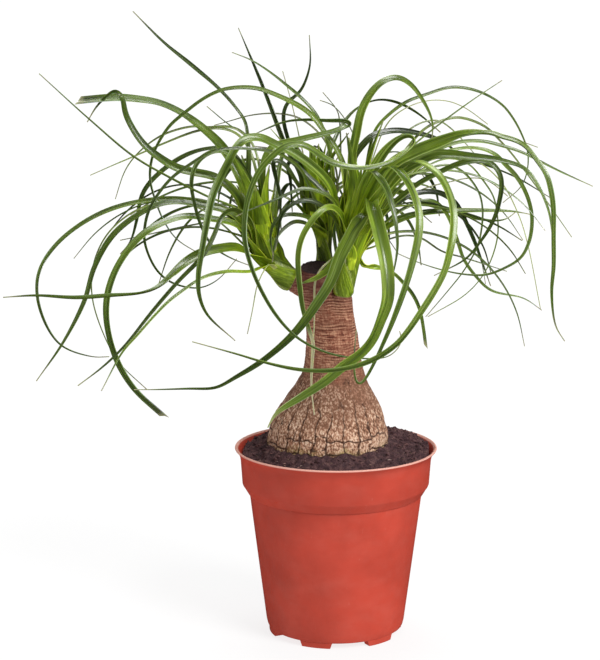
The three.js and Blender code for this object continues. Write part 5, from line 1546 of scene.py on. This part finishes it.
class LeafSettings(bpy.types.PropertyGroup):
    thickness: FloatProperty(
        name="Thickness", description="Thickness of a blade", unit="LENGTH", subtype="DISTANCE",
        default=0.00045, min=0.0002, max=0.001, precision=5)
    roughness: amount("Roughness", "How dull the upper faces are", 0.3, subtype="FACTOR")
    base: tint("Base", "Leaf bases in the heart", (0.245, 0.365, 0.003))
    young: tint("Young", "Brightest blades", (0.215, 0.32, 0.014))
    blade: tint("Blade", "Most of a blade", (0.155, 0.236, 0.016))
    deep: tint("Deep", "Outer part of a blade", (0.082, 0.134, 0.012))
    shade: tint("Shade", "Darkest blades", (0.022, 0.038, 0.005))
    tip: tint("Tip", "Ends of the blades", (0.08, 0.09, 0.03))
    dry: tint("Dry", "Dried tips and strips", (0.58, 0.54, 0.31))


class PALM_OT_shoots(bpy.types.Operator):
    """Make the three leafy shoots, each as a sheathed stem with all its arching leaves"""
    bl_idname = "palm.shoots"
    bl_label = "Leafy shoots"

    def execute(self, context):
        look = context.scene.palm_leaf
        materials = [
            leaf_material(look, "leaf_upper", 1.0, look.roughness, 0.8),
            # The under faces are painted darker, as shade on the faces turned down
            leaf_material(look, "leaf_under", 0.85, look.roughness + 0.12, 0.0),
        ]
        for shoot, entries in SHOOT_LEAVES.items():
            stem = Stem(shoot)
            rng = np.random.default_rng(len(shoot) * 7)
            leaves = [seen_leaf(shoot, stem, index / (len(entries) - 1), entry, rng)
                      for index, entry in enumerate(entries)]
            draws = seeded_draws(len(shoot) * 101)
            rule = HIDDEN_LEAVES[shoot]
            leaves += [hidden_leaf(rule, stem, order, draws, rng) for order in range(rule["count"])]
            leaves += [young_leaf(stem, index, rng) for index in range(YOUNG_LEAVES)]
            blades = []
            for (rows, fields), columns, tone, dry in filter(None, leaves):
                blade = sheet_of("leaf", rows.reshape(-1, columns, 3))
                for name, values in fields.items():
                    store(blade, name, np.maximum(values, dry) if name == "dry" else values)
                store(blade, "tone", np.full(len(blade.data.vertices), tone))
                blades.append(blade)
            piece = join(shoot + "_leaves", blades)
            apply_modifier(piece, "SOLIDIFY", thickness=look.thickness, offset=-1, material_offset=1)
            piece = join(shoot + "_leaves", [piece, stem_core(shoot)])
            finish_piece(piece, shoot, materials, 50)
        return {"FINISHED"}


# Stage

class StageSettings(bpy.types.PropertyGroup):
    floor: tint("Floor", "Floor under the pot", (0.17, 0.17, 0.17))
    glow: amount("Glow", "How far the floor is lit from below", 0.81)
    sky: amount("Sky", "Strength of the light from all round", 0.46, 5)
    key: amount("Key", "Strength of the soft light from the right", 2.6, 10)
    key_width: amount(
        "Key width", "How wide the soft light is", math.radians(26), math.pi, unit="ROTATION",
        subtype="ANGLE")
    top: amount("Top", "Strength of the light from overhead", 1.3, 10)


def floor_material(look):
    make = Finish(
        "pale_floor", Roughness=0.9, Specular_IOR_Level=0.1, Emission_Color=(1, 1, 1, 1),
        Emission_Strength=look.glow)
    return make.done(make.blend(make.grain(30, 3) * 0.02, rgba(look.floor), rgba(look.floor, 0.95)))


def sun_light(name, strength, width, turned):
    """A soft light from far away."""
    rotation = [math.radians(turn) for turn in turned]
    bpy.ops.object.light_add(type="SUN", location=LIGHT_PLACE, rotation=rotation)
    light = bpy.context.object
    light.name = name
    light.data.energy = strength
    light.data.angle = width


class PALM_OT_stage(bpy.types.Operator):
    """Make the pale floor, the soft light and the camera where the photograph was taken"""
    bl_idname = "palm.stage"
    bl_label = "Stage"

    def execute(self, context):
        look = context.scene.palm_stage
        deselect()
        bpy.ops.mesh.primitive_plane_add(size=FLOOR_SIDE)
        floor = join("floor", [context.object])
        floor.data.materials.append(floor_material(look))
        floor.visible_glossy = False
        world = bpy.data.worlds.new("soft_sky")
        world.use_nodes = True
        sky = world.node_tree.nodes["Background"]
        sky.inputs["Color"].default_value = (1, 1, 1, 1)
        sky.inputs["Strength"].default_value = look.sky
        world.cycles_visibility.glossy = False
        context.scene.world = world
        sun_light("key_light", look.key, look.key_width, KEY_TURN)
        sun_light("top_light", look.top, look.key_width, TOP_TURN)
        bpy.ops.object.camera_add(location=EYE * MM, rotation=(math.pi / 2 - EYE_PITCH, 0, 0))
        camera = context.object
        camera.name = "photograph_camera"
        camera.data.sensor_width = SENSOR
        camera.data.lens = EYE_FOCAL * SENSOR / max(PICTURE)
        camera.data.clip_end = CAMERA_REACH
        context.scene.camera = camera
        context.scene.view_settings.view_transform = "Standard"
        context.scene.view_settings.look = "None"
        return {"FINISHED"}


class PALM_PT_panel(bpy.types.Panel):
    """The palm's pieces, with their sizes and colours"""
    bl_idname = "PALM_PT_panel"
    bl_label = "Potted ponytail palm"
    bl_space_type = "VIEW_3D"
    bl_region_type = "UI"
    bl_category = "Palm"

    def draw(self, context):
        for operator, name, settings in PIECES:
            box = self.layout.box()
            box.operator(operator.bl_idname)
            for field in settings.__annotations__:
                box.prop(getattr(context.scene, name), field)


PIECES = (
    (PALM_OT_pot, "palm_pot", PotSettings),
    (PALM_OT_soil, "palm_soil", SoilSettings),
    (PALM_OT_trunk, "palm_trunk", TrunkSettings),
    (PALM_OT_shoots, "palm_leaf", LeafSettings),
    (PALM_OT_stage, "palm_stage", StageSettings),
)


def register():
    for operator, name, settings in PIECES:
        bpy.utils.register_class(settings)
        bpy.utils.register_class(operator)
        setattr(bpy.types.Scene, name, PointerProperty(type=settings))
    bpy.utils.register_class(PALM_PT_panel)


def unregister():
    bpy.utils.unregister_class(PALM_PT_panel)
    for operator, name, settings in reversed(PIECES):
        delattr(bpy.types.Scene, name)
        bpy.utils.unregister_class(operator)
        bpy.utils.unregister_class(settings)


def main():
    register()
    bpy.ops.palm.pot()
    bpy.ops.palm.soil()
    bpy.ops.palm.trunk()
    bpy.ops.palm.shoots()
    bpy.ops.palm.stage()


if __name__ == "__main__":
    main()
